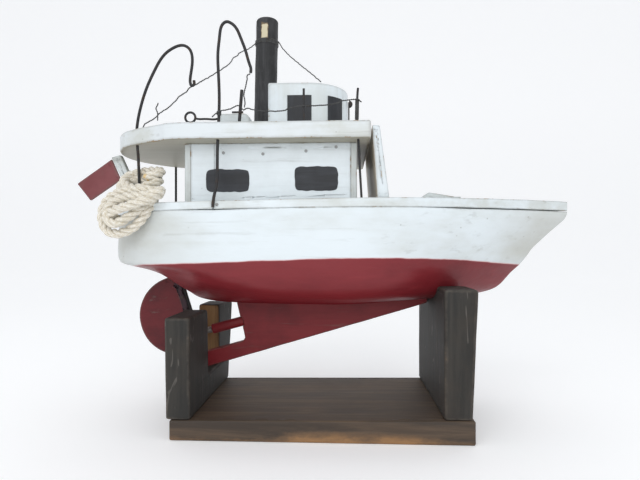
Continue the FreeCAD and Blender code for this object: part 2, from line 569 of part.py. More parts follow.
def deck_pieces():
    wedge = side_board([(95.5, 50.0), (95.5, 61.5), (102.8, 67.3), (140.5, 60.8), (147.0, 50.0)], -30.0,
                       24.0)
    hatch = box(-140.0, -106.0, -74.0, -50.0, ROOF_TOP, ROOF_TOP + 18.0)
    hatch = rounded(
        hatch, 7.0, lambda edge: edge.BoundBox.ZMin > ROOF_TOP + 17.5 and edge.BoundBox.XMin > -107)
    staff = side_board([(-251.5, 44.0), (-285.2, 111.5), (-273.9, 114.6), (-242.0, 44.0)], -34.0, -25.0)
    flag = side_board([(-330.1, 79.8), (-286.8, 110.0), (-275.4, 84.5), (-313.5, 58.8)], -29.8, -26.2)
    above_deck = below(SHEER)
    pins = [nail(Vector(-261.4, -34.2, 93.4), Vector(0, 1, 0), 7.0),
            nail(Vector(-134.6, -108.3, 46.4), Vector(0, 1, 0), 8.0)]
    for x, z in WALL_NAILS:
        pins.append(nail(Vector(x, -WALL_Y - 0.1, z), Vector(0, 1, 0), 6.0))
    group = compound(pins)
    return {
        "foredeck_hatch": wedge.cut(above_deck),
        "roof_hatch": hatch,
        "flag_staff": staff.cut(above_deck).cut(flag).cut(group),
        "flag": flag,
        "boat_nails": group,
    }


def rope_hank(hull, roof, davit, staff):
    """The tied hank of rope that hangs over the starboard quarter, as one closed shape."""
    shape = FreeCAD.Matrix()
    shape.scale(*ROPE_HANK_HALF)
    puck = Part.makeSphere(1.0).transformGeometry(shape)
    puck.rotate(Vector(0, 0, 0), Vector(0, 0, 1), ROPE_HANK_TURN)
    puck = puck.translated(ROPE_HANK_AT)
    return puck.cut(hull.translated(Vector(0, -1.0, 0))).cut(hull).cut(davit).cut(roof).cut(staff)


def build():
    hull = whole_hull()
    foot, up, aft = stock_axis()
    stock_bore = rod(foot - up * 5.0, foot + up * 121.0, STOCK_RADIUS + RUN_CLEAR)
    shoe_bore = rod(foot - up * 20.0, foot + up * 121.0, STOCK_RADIUS + RUN_CLEAR)
    rods = {"davit_aft": davit_aft(), "davit_middle": davit_mid(), "rail_post_fore": fore_post()}
    rails = rail_parts()
    through = [rods[name] for name in rods] + [rails[name] for name in
                                               ("rail_post_aft", "rail_post_mid", "port_aft_post")]
    rod_group = compound(through)
    screw = propeller_parts()
    boat = {}
    boat.update(hull_parts(hull, stock_bore, rod_group))
    boat["keel_fin"] = keel_fin(hull, screw["stern_tube_dowel"].fuse(screw["propeller_nail"]), shoe_bore)
    boat.update(screw)
    boat.update(rudder_parts(hull))
    boat.update(cabin_parts())
    boat["roof"] = roof_slab(rod_group)
    boat.update(wheelhouse_parts())
    boat["chimney"] = chimney()
    boat.update(rods)
    boat.update(rails)
    boat.update(stay_parts())
    boat.update(deck_pieces())
    for piece, passing in LET_THROUGH:
        boat[piece] = boat[piece].cut(boat[passing])
    boat["rope_hank"] = rope_hank(hull, boat["roof"], boat["davit_aft"], boat["flag_staff"])
    nodes = stand_parts(hull)
    for name, shape in boat.items():
        nodes[name] = shape.translated(BOAT_AT)
    return nodes


os.makedirs("parts", exist_ok=True)
for node_name, node_shape in build().items():
    node_shape.exportStep("parts/%s.step" % node_name)
    print(node_name, node_shape.isValid(), len(node_shape.Solids), round(node_shape.Volume, 1), flush=True)
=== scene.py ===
# The looks of a home-made wooden toy boat in its cradle stand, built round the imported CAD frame.
# Lengths are in metres, and in millimetres where a comment says so. The boat's own frame (x from amidships,
# y from the centreline, z from the level plane between keel and rail) is set into the shared frame by BOAT.
import math
import bmesh
import bpy
import numpy as np
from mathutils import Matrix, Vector, noise
from mathutils.geometry import tessellate_polygon


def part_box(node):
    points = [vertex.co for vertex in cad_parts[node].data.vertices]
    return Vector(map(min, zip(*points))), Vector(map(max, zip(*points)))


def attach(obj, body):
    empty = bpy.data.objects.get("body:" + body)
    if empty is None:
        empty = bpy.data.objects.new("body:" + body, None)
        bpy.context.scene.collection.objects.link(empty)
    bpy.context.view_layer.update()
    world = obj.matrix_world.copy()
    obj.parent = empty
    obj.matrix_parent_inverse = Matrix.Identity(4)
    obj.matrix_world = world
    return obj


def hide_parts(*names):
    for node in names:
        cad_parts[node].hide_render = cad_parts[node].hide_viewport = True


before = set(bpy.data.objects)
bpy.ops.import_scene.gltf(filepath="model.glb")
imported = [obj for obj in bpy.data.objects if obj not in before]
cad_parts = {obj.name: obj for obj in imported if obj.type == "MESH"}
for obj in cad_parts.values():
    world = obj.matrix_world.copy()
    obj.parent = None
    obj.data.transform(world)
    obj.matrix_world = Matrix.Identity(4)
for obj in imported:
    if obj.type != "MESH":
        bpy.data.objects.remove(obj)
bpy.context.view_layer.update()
MM = 0.001
BOAT = Vector((24.0, 13.5, 208.5)) * MM

# hull levels in the boat's frame: height, stern end, bow end, half breadth, length of the rounded stern
HULL_LEVELS = np.array([
    (-65.0, -172.0, 80.0, 61.0, 150.0),
    (-63.5, -181.0, 110.0, 69.0, 155.0),
    (-60.0, -188.0, 145.0, 77.5, 152.0),
    (-56.0, -192.6, 172.0, 85.5, 148.0),
    (-51.0, -200.6, 188.0, 92.0, 144.0),
    (-45.0, -209.3, 196.0, 98.0, 135.0),
    (-37.5, -219.6, 202.5, 102.5, 123.0),
    (-31.0, -229.6, 208.0, 105.0, 114.0),
    (-26.0, -242.5, 213.5, 106.0, 107.0),
    (-22.0, -259.0, 218.0, 106.8, 101.0),
    (-19.0, -276.5, 221.0, 107.0, 102.0),
    (-12.0, -280.5, 226.5, 107.5, 102.0),
    (0.0, -281.0, 235.0, 108.0, 102.0),
    (20.0, -280.5, 253.6, 108.0, 104.0),
    (42.0, -280.0, 276.0, 108.0, 107.0),
    (51.0, -279.0, 278.0, 108.0, 108.0),
]) * MM
SHOULDER_X = -0.012
BOW_FULLNESS = 1.7
NOSE_HALF = 0.0025
SHEER_X = np.array((-0.300, -0.139, 0.0, 0.150, 0.300))
SHEER_Z = np.array((0.0475, 0.0505, 0.0535, 0.0558, 0.0576))
UNDER_X = np.array((-0.300, -0.139, 0.0, 0.104, 0.200, 0.300))
UNDER_Z = np.array((0.0385, 0.0415, 0.0438, 0.0448, 0.0456, 0.0464))
PAINT_X = np.array((-0.300, -0.270, -0.245, -0.220, -0.153, -0.088, 0.0, 0.060, 0.1386, 0.217, 0.300))
PAINT_Z = np.array((-0.046, -0.031, -0.0215, -0.0184, -0.0161, -0.0136, -0.0110, -0.0108,
                    -0.0137, -0.0206, -0.032))
DECK_BUTT_X, DECK_BUTT_GAP = -0.139, 0.0005
BASE_LENGTH, BASE_THICK_AFT, BASE_THICK_FORE = 0.328, 0.0218, 0.0258
# cradle boards: where they begin, how high they rise, and for each face its X at the foot and its lean
CRADLE_FOOT_Z, CRADLE_THICK = 0.010, 0.029
AFT_RISE, AFT_BACK, AFT_FRONT = 0.1228, (-0.1682, -0.0016), (-0.1412, -0.0012)
FORE_RISE, FORE_BACK, FORE_FRONT = 0.1545, (0.1312, 0.0), (0.1606, 0.0066)
# the aft board's far prong: where it begins, its width, and how much thicker its outer top corner is
PRONG_Y, PRONG_WIDTH, PRONG_SWELL = 0.0402, 0.0503, 0.0078
# boards: distance between points along an outline, from edge to flat, and of wear round a corner
OUTLINE_STEP, BOARD_RIM, CORNER_REACH = 0.004, 0.006, 0.006


def sheer(x):
    return np.polyval(np.polyfit(SHEER_X, SHEER_Z, 3), x)


def deck_underside(x):
    return np.polyval(np.polyfit(UNDER_X, UNDER_Z, 3), x)


def paint_line(x):
    return np.interp(x, PAINT_X, PAINT_Z)


# ------------------------------------------------------------------ mesh tools

def new_object(name, verts, faces, attributes):
    """A smooth-shaded mesh object; attributes are lists with one number for each vertex."""
    mesh = bpy.data.meshes.new(name)
    mesh.from_pydata([tuple(v) for v in verts], [], faces)
    mesh.validate()
    for key, values in attributes.items():
        layer = mesh.attributes.new(key, "FLOAT", "POINT")
        layer.data.foreach_set("value", np.asarray(values, dtype=np.float32))
    mesh.polygons.foreach_set("use_smooth", [True] * len(mesh.polygons))
    obj = bpy.data.objects.new(name, mesh)
    bpy.context.scene.collection.objects.link(obj)
    return obj


def finish_piece(obj, material, body, nodes):
    """Gives a piece its finish and its place on a body; it stands for the CAD nodes named."""
    obj.data.materials.clear()
    obj.data.materials.append(material)
    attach(obj, body)
    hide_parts(*nodes)


def keep_node(name, material):
    """A CAD node whose shape is right keeps its mesh and gets a better material."""
    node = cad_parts[name]
    node.data.materials.clear()
    node.data.materials.append(material)


def ring_faces(rings, count):
    """The quads between rings of count points each."""
    faces = []
    for r in range(rings - 1):
        for i in range(count):
            j = (i + 1) % count
            faces.append((r * count + i, r * count + j, (r + 1) * count + j, (r + 1) * count + i))
    return faces


def flat_caps(obj, count):
    """Shades a board's end faces, which have count corners, flat; its rounded edges stay smooth."""
    for face in obj.data.polygons:
        if len(face.vertices) == count:
            face.use_smooth = False


def recalculate(obj):
    """Turns every face outwards."""
    shape = bmesh.new()
    shape.from_mesh(obj.data)
    bmesh.ops.recalc_face_normals(shape, faces=shape.faces)
    shape.to_mesh(obj.data)
    shape.free()


def join(objects, name):
    bpy.ops.object.select_all(action="DESELECT")
    for obj in objects:
        obj.select_set(True)
    bpy.context.view_layer.objects.active = objects[0]
    bpy.ops.object.join()
    objects[0].name = name
    return objects[0]


# ------------------------------------------------------------------ outlines and boards

def loop_length(loop):
    return sum((a - b).length for a, b in zip(loop, loop[1:] + loop[:1]))


def section(node, axis, share=0.5):
    """The outlines of a CAD node cut across axis, longest first, as lists of 3-D points."""
    low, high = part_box(node)
    normal = Vector((0, 0, 0))
    normal[axis] = 1.0
    cut = bmesh.new()
    cut.from_mesh(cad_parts[node].data)
    bmesh.ops.remove_doubles(cut, verts=cut.verts, dist=1e-6)
    everything = cut.verts[:] + cut.edges[:] + cut.faces[:]
    bmesh.ops.bisect_plane(cut, geom=everything, plane_co=low.lerp(high, share), plane_no=normal,
                           clear_inner=True, clear_outer=True)
    loops = []
    left = set(cut.edges)
    while left:
        edge = left.pop()
        start, vert = edge.verts
        loop = [start.co.copy(), vert.co.copy()]
        while vert != start:
            onward = [e for e in vert.link_edges if e in left]
            if not onward:
                break
            left.discard(onward[0])
            vert = onward[0].other_vert(vert)
            loop.append(vert.co.copy())
        loops.append(loop[:-1] if vert == start else loop)
    cut.free()
    return sorted(loops, key=loop_length, reverse=True)


def flat(points, axis):
    """Drops one axis: the other two, in X, Y, Z order."""
    keep = [i for i in range(3) if i != axis]
    return [Vector((p[keep[0]], p[keep[1]])) for p in points]


def signed_area(outline):
    """Twice the outline's area, above 0 where it runs anticlockwise."""
    return sum(a.x * b.y - b.x * a.y for a, b in zip(outline, outline[1:] + outline[:1]))


def turn_at(outline, i, reach=1):
    """The angle the outline turns through at a point, seen over reach points each way."""
    back = (outline[i] - outline[i - reach]).normalized()
    onward = (outline[(i + reach) % len(outline)] - outline[i]).normalized()
    return math.acos(max(-1.0, min(1.0, back.dot(onward))))


def soft_outline(outline, radius, step):
    """Cleans an outline, rounds its corners by radius, smooths its curves and splits its long runs."""
    points = [p for i, p in enumerate(outline) if (p - outline[i - 1]).length > 2e-5]
    points = [p for i, p in enumerate(points) if turn_at(points, i) > 0.004]
    for _ in range(3):
        cut = []
        for i, p in enumerate(points):
            back, onward = points[i - 1] - p, points[(i + 1) % len(points)] - p
            gentle = turn_at(points, i) < 0.45 and max(back.length, onward.length) < 0.02
            reach = 1.0 if gentle else radius
            cut.append(p + back.normalized() * min(0.25 * back.length, reach))
            cut.append(p + onward.normalized() * min(0.25 * onward.length, reach))
        points = cut
    split = []
    for i, p in enumerate(points):
        after = points[(i + 1) % len(points)]
        parts = max(1, int(math.ceil((after - p).length / step)))
        split += [p.lerp(after, k / parts) for k in range(parts)]
    return split if signed_area(split) > 0 else split[::-1]


def inset(outline, depth):
    """The outline moved inwards; it runs anticlockwise."""
    moved = []
    for i, p in enumerate(outline):
        a = (p - outline[i - 1]).normalized()
        b = (outline[(i + 1) % len(outline)] - p).normalized()
        way = Vector((-(a.y + b.y), a.x + b.x))
        way = way.normalized() if way.length > 1e-6 else Vector((-a.y, a.x))
        spread = max(0.6, way.dot(Vector((-a.y, a.x))))
        moved.append(p + way * (depth / spread))
    return moved


def cornerness(outline, reach):
    """1 at the outline's corners, falling to 0 at reach from them."""
    spots = [p for i, p in enumerate(outline) if turn_at(outline, i, 3) > 0.7]
    if not spots:
        return [0.0] * len(outline)
    return [max(0.0, 1.0 - min((p - s).length for s in spots) / reach) for p in outline]


def cap_triangles(line):
    """Fills a board's outline, notches left open, with triangles wound the same way as the outline."""
    area = signed_area(line)
    filled = []
    for a, b, c in tessellate_polygon([[Vector((p.x, p.y, 0.0)) for p in line]]):
        same = (line[b] - line[a]).cross(line[c] - line[a]) * area > 0
        filled.append((a, b, c) if same else (a, c, b))
    return filled


def slab(name, outline, low, high, axis, radius=0.001, wave=0.00025, tilt=None, rim=BOARD_RIM):
    """A board: an outline given thickness along an axis, with rounded edges and an uneven surface."""
    line = soft_outline(outline, radius * 0.8, OUTLINE_STEP)
    thick = high - low
    radius = min(radius, 0.3 * thick)
    near, far = min(0.0025, 0.1 * thick), min(0.006, 0.25 * thick)
    # each ring: its depth inside the outline, its height and its wear
    rings = [(rim, low, 0.0), (0.5 * (rim + radius), low, 0.35), (radius, low, 0.9),
             (0.3 * radius, low + 0.3 * radius, 1.0), (0.0, low + radius, 0.9),
             (0.0, low + radius + near, 0.4)]
    span = thick - 2 * (radius + far)
    inner = max(1, int(span / 0.012))
    middle = [(0.0, low + radius + far + span * k / inner, 0.0) for k in range(inner + 1)]
    rings = rings + middle + [(d, low + high - c, e) for d, c, e in reversed(rings)]
    corner = cornerness(line, CORNER_REACH)
    keep = [i for i in range(3) if i != axis]
    verts, edge = [], []
    for depth, c, e in rings:
        for p, k in zip(inset(line, depth), corner):
            v = Vector((0, 0, 0))
            v[keep[0]], v[keep[1]], v[axis] = p.x, p.y, c
            verts.append(v)
            edge.append(max(e, k if depth <= radius else k * e))
    faces = ring_faces(len(rings), len(line))
    last = (len(rings) - 1) * len(line)
    for three in cap_triangles(line):
        faces.append(tuple(reversed(three)))
        faces.append(tuple(last + i for i in three))
    if axis == 1:
        faces = [tuple(reversed(f)) for f in faces]
    if tilt:
        verts = [tilt(v) for v in verts]
    verts = [v + noise.noise_vector(v * 45.0) * wave for v in verts]
    obj = new_object(name, verts, faces, {"edge": edge})
    flat_caps(obj, 3)
    return obj


def board_from(node, axis, material, body, slot, radius=0.001, share=0.5, **more):
    """A board over a CAD node that is one outline given thickness along an axis."""
    low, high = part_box(node)
    outline = flat(section(node, axis, share)[0], axis)
    made = slab(node + "_board", outline, low[axis], high[axis], axis, radius, **more)
    finish_piece(made, material, body, [node])


# ------------------------------------------------------------------ round lines

def tube(name, points, radius, sides):
    """A round tube along points, without twist; it knows how far along and around each point is."""
    count = len(points)
    way = (points[1] - points[0]).normalized()
    side = way.orthogonal().normalized()
    verts, along, around = [], [], []
    travelled = 0.0
    for i, p in enumerate(points):
        if i:
            travelled += (p - points[i - 1]).length
            ahead = points[min(i + 1, count - 1)] - points[i - 1]
            side = (side - side.project(ahead)).normalized()
            way = ahead.normalized()
        other = way.cross(side)
        for k in range(sides):
            turn = 2 * math.pi * k / sides
            verts.append(p + (side * math.cos(turn) + other * math.sin(turn)) * radius)
            along.append(travelled)
            around.append(k / sides)
    faces = ring_faces(count, sides)
    faces.append(tuple(range(sides - 1, -1, -1)))
    faces.append(tuple((count - 1) * sides + k for k in range(sides)))
    return new_object(name, verts, faces, {"along": along, "around": around})


def route(name, points, samples=16):
    """Points along a NURBS line whose control points are given."""
    curve = bpy.data.curves.new(name, "CURVE")
    curve.dimensions = "3D"
    spline = curve.splines.new("NURBS")
    spline.points.add(len(points) - 1)
    for knot, p in zip(spline.points, points):
        knot.co = (p[0], p[1], p[2], 1.0)
    spline.order_u = 3
    spline.use_endpoint_u = True
    curve.resolution_u = samples
    holder = bpy.data.objects.new(name, curve)
    bpy.context.scene.collection.objects.link(holder)
    bpy.context.view_layer.update()
    mesh = bpy.data.meshes.new_from_object(holder)
    line = [v.co.copy() for v in mesh.vertices]
    bpy.data.meshes.remove(mesh)
    bpy.data.objects.remove(holder)
    return line


def even(line, step):
    """The same line with points a constant step apart, and its length."""
    at = [0.0]
    for a, b in zip(line, line[1:]):
        at.append(at[-1] + (b - a).length)
    count = max(2, int(at[-1] / step))
    wanted = np.linspace(0.0, at[-1], count + 1)
    axes = [np.interp(wanted, at, [p[k] for p in line]) for k in range(3)]
    return [Vector(v) for v in zip(*axes)], at[-1]


def strands(name, line, count, off, radius, pitch, sides):
    """Strands laid round a line, as in rope or twisted wire."""
    side = (line[1] - line[0]).orthogonal().normalized()
    travelled = 0.0
    laid = [[] for _ in range(count)]
    for i, p in enumerate(line):
        ahead = line[min(i + 1, len(line) - 1)] - line[max(i - 1, 0)]
        if i:
            travelled += (p - line[i - 1]).length
        side = (side - side.project(ahead)).normalized()
        other = ahead.normalized().cross(side)
        for k in range(count):
            turn = 2 * math.pi * (travelled / pitch + k / count)
            laid[k].append(p + (side * math.cos(turn) + other * math.sin(turn)) * off)
    tubes = [tube("%s_%d" % (name, k), laid[k], radius, sides) for k in range(count)]
    return join(tubes, name)


def boat(x, y, z):
    """A point of the boat's own frame, given in millimetres, in the shared frame."""
    return BOAT + Vector((x, y, z)) * MM


# ------------------------------------------------------------------ materials

class Finish:
    """A procedural material under construction."""

    def __init__(self, name):
        self.material = bpy.data.materials.new(name)
        self.material.use_nodes = True
        self.tree = self.material.node_tree
        self.shader = self.tree.nodes["Principled BSDF"]
        self.place = self.node("TexCoord").outputs["Object"]

    def node(self, kind, **settings):
        made = self.tree.nodes.new("ShaderNode" + kind)
        for key, value in settings.items():
            setattr(made, key, value)
        return made

    def wire(self, source, target):
        self.tree.links.new(source, target)

    def scaled(self, scale):
        mapping = self.node("Mapping")
        mapping.inputs["Scale"].default_value = scale
        self.wire(self.place, mapping.inputs["Vector"])
        return mapping.outputs["Vector"]

    def noise(self, scale, detail=4.0, rough=0.55, stretch=(1, 1, 1), distortion=0.0):
        made = self.node("TexNoise")
        made.inputs["Scale"].default_value = scale
        made.inputs["Detail"].default_value = detail
        made.inputs["Roughness"].default_value = rough
        made.inputs["Distortion"].default_value = distortion
        self.wire(self.scaled(stretch), made.inputs["Vector"])
        return made.outputs["Fac"]

    def cells(self, scale, stretch=(1, 1, 1)):
        made = self.node("TexVoronoi")
        made.inputs["Scale"].default_value = scale
        self.wire(self.scaled(stretch), made.inputs["Vector"])
        return made.outputs["Distance"]

    def attribute(self, name):
        return self.node("Attribute", attribute_name=name).outputs["Fac"]

    def band(self, value, low, high):
        """0 below low, 1 above high, smooth between; turned round when low is above high."""
        made = self.node("MapRange", interpolation_type="SMOOTHSTEP")
        self.wire(value, made.inputs["Value"])
        made.inputs["From Min"].default_value = min(low, high)
        made.inputs["From Max"].default_value = max(low, high)
        made.inputs["To Min"].default_value = 0.0 if low < high else 1.0
        made.inputs["To Max"].default_value = 1.0 if low < high else 0.0
        return made.outputs["Result"]

    def math(self, how, a, b):
        made = self.node("Math", operation=how)
        for socket, value in zip(made.inputs, (a, b)):
            if isinstance(value, (int, float)):
                socket.default_value = value
            else:
                self.wire(value, socket)
        return made.outputs[0]

    def times(self, a, b):
        return self.math("MULTIPLY", a, b)

    def plus(self, a, b):
        return self.math("ADD", a, b)

    def mix(self, share, a, b):
        made = self.node("Mix", data_type="RGBA")
        if isinstance(share, (int, float)):
            made.inputs[0].default_value = share
        else:
            self.wire(share, made.inputs[0])
        for socket, value in ((made.inputs[6], a), (made.inputs[7], b)):
            if isinstance(value, tuple):
                socket.default_value = value + (1.0,)
            else:
                self.wire(value, socket)
        return made.outputs[2]

    def facing(self, index, way):
        """1 where the surface faces way along an axis of the piece."""
        split = self.node("SeparateXYZ")
        self.wire(self.node("TexCoord").outputs["Normal"], split.inputs[0])
        return self.band(split.outputs[index], 0.5 * way, 0.85 * way)

    def within(self, index, low, high, soft):
        """1 between two places along an axis, fading over soft."""
        place = self.axis(index)
        return self.times(self.band(place, low - soft, low), self.band(place, high + soft, high))

    def axis(self, index):
        split = self.node("SeparateXYZ")
        self.wire(self.place, split.inputs[0])
        return split.outputs[index]

    def colour(self, value):
        if isinstance(value, tuple):
            self.shader.inputs["Base Color"].default_value = value + (1.0,)
        else:
            self.wire(value, self.shader.inputs["Base Color"])

    def rough(self, value):
        if isinstance(value, float):
            self.shader.inputs["Roughness"].default_value = value
        else:
            self.wire(value, self.shader.inputs["Roughness"])

    def ranged(self, value, low, high):
        made = self.node("MapRange")
        self.wire(value, made.inputs["Value"])
        made.inputs["To Min"].default_value = low
        made.inputs["To Max"].default_value = high
        return made.outputs["Result"]

    def bump(self, height, depth, strength=1.0):
        made = self.node("Bump")
        made.inputs["Strength"].default_value = strength
        made.inputs["Distance"].default_value = depth
        self.wire(height, made.inputs["Height"])
        previous = self.shader.inputs["Normal"].links
        if previous:
            self.wire(previous[0].from_socket, made.inputs["Normal"])
        self.wire(made.outputs["Normal"], self.shader.inputs["Normal"])


# how noise is stretched for brush strokes or grain that runs along an axis
ALONG_X, ALONG_Z = (0.07, 1, 1), (1, 1, 0.07)
WHITE, WHITE_WARM = (0.74, 0.80, 0.83), (0.60, 0.63, 0.61)
GRIME, BARE_WOOD = (0.20, 0.19, 0.16), (0.34, 0.25, 0.16)


def painted_wood(name, stroke, light, dark, worn, specks=True, chips=1.0, bare_or_shade=None):
    """Brushed paint over wood: strokes, uneven cover, dirt specks, chipped and dirty edges.

    The last argument is a function that gives where part of the piece is left unpainted, or is darkened as
    painted shade, and the colour there.
    """
    f = Finish(name)
    strokes = f.noise(140.0, 5.0, 0.6, stroke)
    fine = f.noise(420.0, 3.0, 0.6, stroke)
    cover = f.noise(14.0, 5.0, 0.6)
    patch = f.band(f.plus(cover, f.times(strokes, 0.35)), 0.55, 0.85)
    colour = f.mix(patch, light, dark)
    streak = f.band(strokes, 0.58, 0.74)
    colour = f.mix(f.times(streak, 0.22), colour, GRIME)
    if specks:
        spot = f.times(f.band(f.cells(95.0), 0.11, 0.03), f.band(f.noise(31.0, 2.0), 0.56, 0.66))
        colour = f.mix(f.times(spot, 0.75), colour, GRIME)
    # unpainted wood, or painted shade, where the given function puts it
    if bare_or_shade:
        where, tint = bare_or_shade(f)
        colour = f.mix(where, colour, tint)
    rub = f.plus(f.attribute("edge"), f.times(f.noise(75.0, 6.0, 0.7), 0.9))
    dirt = f.band(rub, 0.95, 1.55)
    colour = f.mix(f.times(dirt, 0.25), colour, GRIME)
    chip = f.times(f.band(rub, 1.47, 1.52), chips)
    colour = f.mix(chip, colour, worn)
    f.colour(colour)
    f.rough(f.ranged(f.plus(f.times(strokes, 0.5), f.times(chip, 0.5)), 0.34, 0.72))
    f.bump(f.plus(strokes, f.times(fine, 0.4)), 0.0006, 0.45)
    f.bump(f.math("SUBTRACT", 1.0, chip), 0.0004, 0.5)
    return f


def red_paint(name, stroke, light=(0.21, 0.012, 0.020), dark=(0.10, 0.006, 0.010)):
    f = painted_wood(name, stroke, light, dark, (0.07, 0.03, 0.02), specks=False, chips=0.8)
    f.shader.inputs["Specular IOR Level"].default_value = 0.3
    return f.material


def hull_paint():
    """One hull finish: white above the hand-painted line, glossy red below it."""
    f = Finish("hull_paint")
    strokes = f.noise(120.0, 5.0, 0.6, ALONG_X)
    fine = f.noise(420.0, 3.0, 0.6, ALONG_X)
    cover = f.noise(9.0, 5.0, 0.6, (0.6, 1, 1.4))
    planks = f.noise(26.0, 3.0, 0.6, (0.04, 1, 1.6))
    white = f.mix(f.band(f.plus(cover, f.times(planks, 0.4)), 0.62, 0.95), WHITE, WHITE_WARM)
    white = f.mix(f.times(f.band(strokes, 0.57, 0.72), 0.20), white, GRIME)
    spot = f.times(f.band(f.cells(70.0), 0.09, 0.03), f.band(f.noise(23.0, 2.0), 0.53, 0.62))
    white = f.mix(f.times(spot, 0.8), white, GRIME)
    # painted shade: the white turns warm grey towards the rounded stern and the bow
    end_shade = f.band(f.attribute("end_shade"), 0.05, 0.9)
    white = f.mix(f.times(end_shade, f.plus(0.30, f.times(cover, 0.5))), white,
                  (0.48, 0.47, 0.42))
    red = f.mix(f.band(cover, 0.42, 0.66), (0.205, 0.019, 0.025), (0.155, 0.013, 0.018))
    red = f.mix(f.times(f.band(strokes, 0.55, 0.75), 0.35), red, (0.26, 0.03, 0.035))
    height = f.plus(f.attribute("above_line"),
                    f.times(f.math("SUBTRACT", f.noise(60.0, 3.0, 0.6, (0.5, 1, 1)), 0.5), 0.0022))
    side = f.band(height, -0.00025, 0.00025)
    pink = f.times(f.band(height, -0.0012, 0.0), f.band(height, 0.0016, 0.0))
    colour = f.mix(side, red, white)
    colour = f.mix(f.times(pink, 0.45), colour, (0.60, 0.22, 0.22))
    rub = f.plus(f.attribute("edge"), f.times(f.noise(75.0, 6.0, 0.7), 0.9))
    colour = f.mix(f.times(f.band(rub, 0.95, 1.5), 0.6), colour, GRIME)
    f.colour(colour)
    f.rough(f.plus(f.times(side, 0.14), f.ranged(strokes, 0.26, 0.46)))
    ridges = f.noise(38.0, 4.0, 0.65, (0.35, 1, 1))
    f.bump(f.plus(strokes, f.times(fine, 0.4)), 0.0006, 0.5)
    f.bump(ridges, 0.0014, 0.5)
    # painted shade: the red's reflection is turned down towards the bottom of the hull, standing in for the
    # shade there
    f.wire(f.times(f.band(f.axis(2), BOAT.z - 0.063, BOAT.z - 0.046), 0.35),
           f.shader.inputs["Specular IOR Level"])
    return f.material


def stained_board(name, stroke, bare_face=False):
    """Dark stained, much handled board: streaky grain, scratches, edges rubbed to dull brown wood."""
    f = Finish(name)
    grain = f.noise(90.0, 6.0, 0.65, stroke, 0.4)
    fine = f.noise(330.0, 4.0, 0.6, stroke)
    blotch = f.noise(11.0, 5.0, 0.6)
    colour = f.mix(f.band(grain, 0.35, 0.68), (0.012, 0.011, 0.009), (0.034, 0.030, 0.025))
    colour = f.mix(f.times(f.band(blotch, 0.50, 0.72), 0.6), colour, (0.040, 0.029, 0.020))
    rub = f.plus(f.times(f.attribute("edge"), 0.80),
                 f.plus(f.times(f.noise(42.0, 6.0, 0.72), 0.8), f.times(grain, 0.25)))
    colour = f.mix(f.times(f.band(rub, 1.15, 1.45), 0.55), colour, (0.095, 0.078, 0.062))
    colour = f.mix(f.times(f.band(rub, 1.36, 1.50), 0.8), colour, (0.22, 0.13, 0.065))
    scratch = f.band(f.noise(60.0, 2.0, 0.5, (1.0, 1.0, 0.25), 2.5), 0.66, 0.70)
    colour = f.mix(f.times(scratch, 0.30), colour, (0.20, 0.18, 0.16))
    if bare_face:
        sawn = f.times(f.band(f.axis(1), 0.0385, 0.0398), f.band(f.axis(1), 0.0416, 0.0406))
        sawn = f.times(sawn, f.band(f.axis(2), 0.054, 0.058))
        patch = f.band(f.noise(55.0, 5.0, 0.65, ALONG_Z), 0.38, 0.60)
        colour = f.mix(f.times(sawn, f.plus(0.35, f.times(patch, 0.65))), colour,
                       (0.33, 0.19, 0.075))
    f.colour(colour)
    f.rough(f.ranged(grain, 0.55, 0.85))
    f.bump(f.plus(grain, f.times(fine, 0.5)), 0.0009, 0.6)
    return f.material


def board_top():
    """The stand base: brown grain on top, dark stained edges with orange wear along the lower front."""
    f = Finish("base_stain")
    grain = f.noise(70.0, 7.0, 0.68, ALONG_X, 0.7)
    fine = f.noise(300.0, 4.0, 0.6, ALONG_X)
    blotch = f.noise(13.0, 5.0, 0.65)
    top = f.mix(f.band(grain, 0.36, 0.66), (0.055, 0.036, 0.022), (0.130, 0.086, 0.052))
    top = f.mix(f.times(f.band(blotch, 0.45, 0.7), 0.45), top, (0.045, 0.032, 0.022))
    sides = f.mix(f.band(grain, 0.38, 0.70), (0.042, 0.029, 0.020), (0.115, 0.076, 0.048))
    up = f.node("SeparateXYZ")
    f.wire(f.node("TexCoord").outputs["Normal"], up.inputs[0])
    colour = f.mix(f.band(up.outputs[2], 0.5, 0.9), sides, top)
    low_edge = f.band(f.axis(2), 0.024, 0.004)
    middle = f.times(f.band(f.axis(0), -0.09, -0.01), f.band(f.axis(0), 0.15, 0.07))
    rub = f.plus(f.times(low_edge, f.plus(0.42, f.times(middle, 0.30))),
                 f.plus(f.times(f.noise(34.0, 6.0, 0.72, (0.4, 1, 1)), 0.95),
                        f.times(f.attribute("edge"), 0.15)))
    colour = f.mix(f.band(rub, 0.92, 1.16), colour, (0.15, 0.088, 0.046))
    colour = f.mix(f.times(f.band(rub, 1.08, 1.34), 0.85), colour, (0.33, 0.175, 0.070))
    f.colour(colour)
    f.rough(f.ranged(grain, 0.5, 0.85))
    f.bump(f.plus(grain, f.times(fine, 0.5)), 0.0009, 0.6)
    return f.material


def dark_metal(name, colour=(0.035, 0.035, 0.037), rust=(0.07, 0.045, 0.03), metallic=0.55):
    f = Finish(name)
    patchy = f.noise(160.0, 5.0, 0.7)
    f.colour(f.mix(f.band(patchy, 0.48, 0.72), colour, rust))
    f.rough(f.ranged(patchy, 0.42, 0.75))
    f.shader.inputs["Metallic"].default_value = metallic
    f.bump(f.noise(500.0, 3.0, 0.6), 0.0003, 0.4)
    return f.material


def black_paint(name, stroke, light=(0.030, 0.033, 0.040), dark=(0.010, 0.011, 0.014)):
    f = Finish(name)
    strokes = f.noise(130.0, 5.0, 0.6, stroke, 0.5)
    cover = f.noise(40.0, 4.0, 0.6)
    f.colour(f.mix(f.band(f.plus(strokes, f.times(cover, 0.4)), 0.55, 0.95), dark, light))
    f.rough(f.ranged(strokes, 0.38, 0.7))
    f.bump(strokes, 0.0007, 0.5)
    return f.material


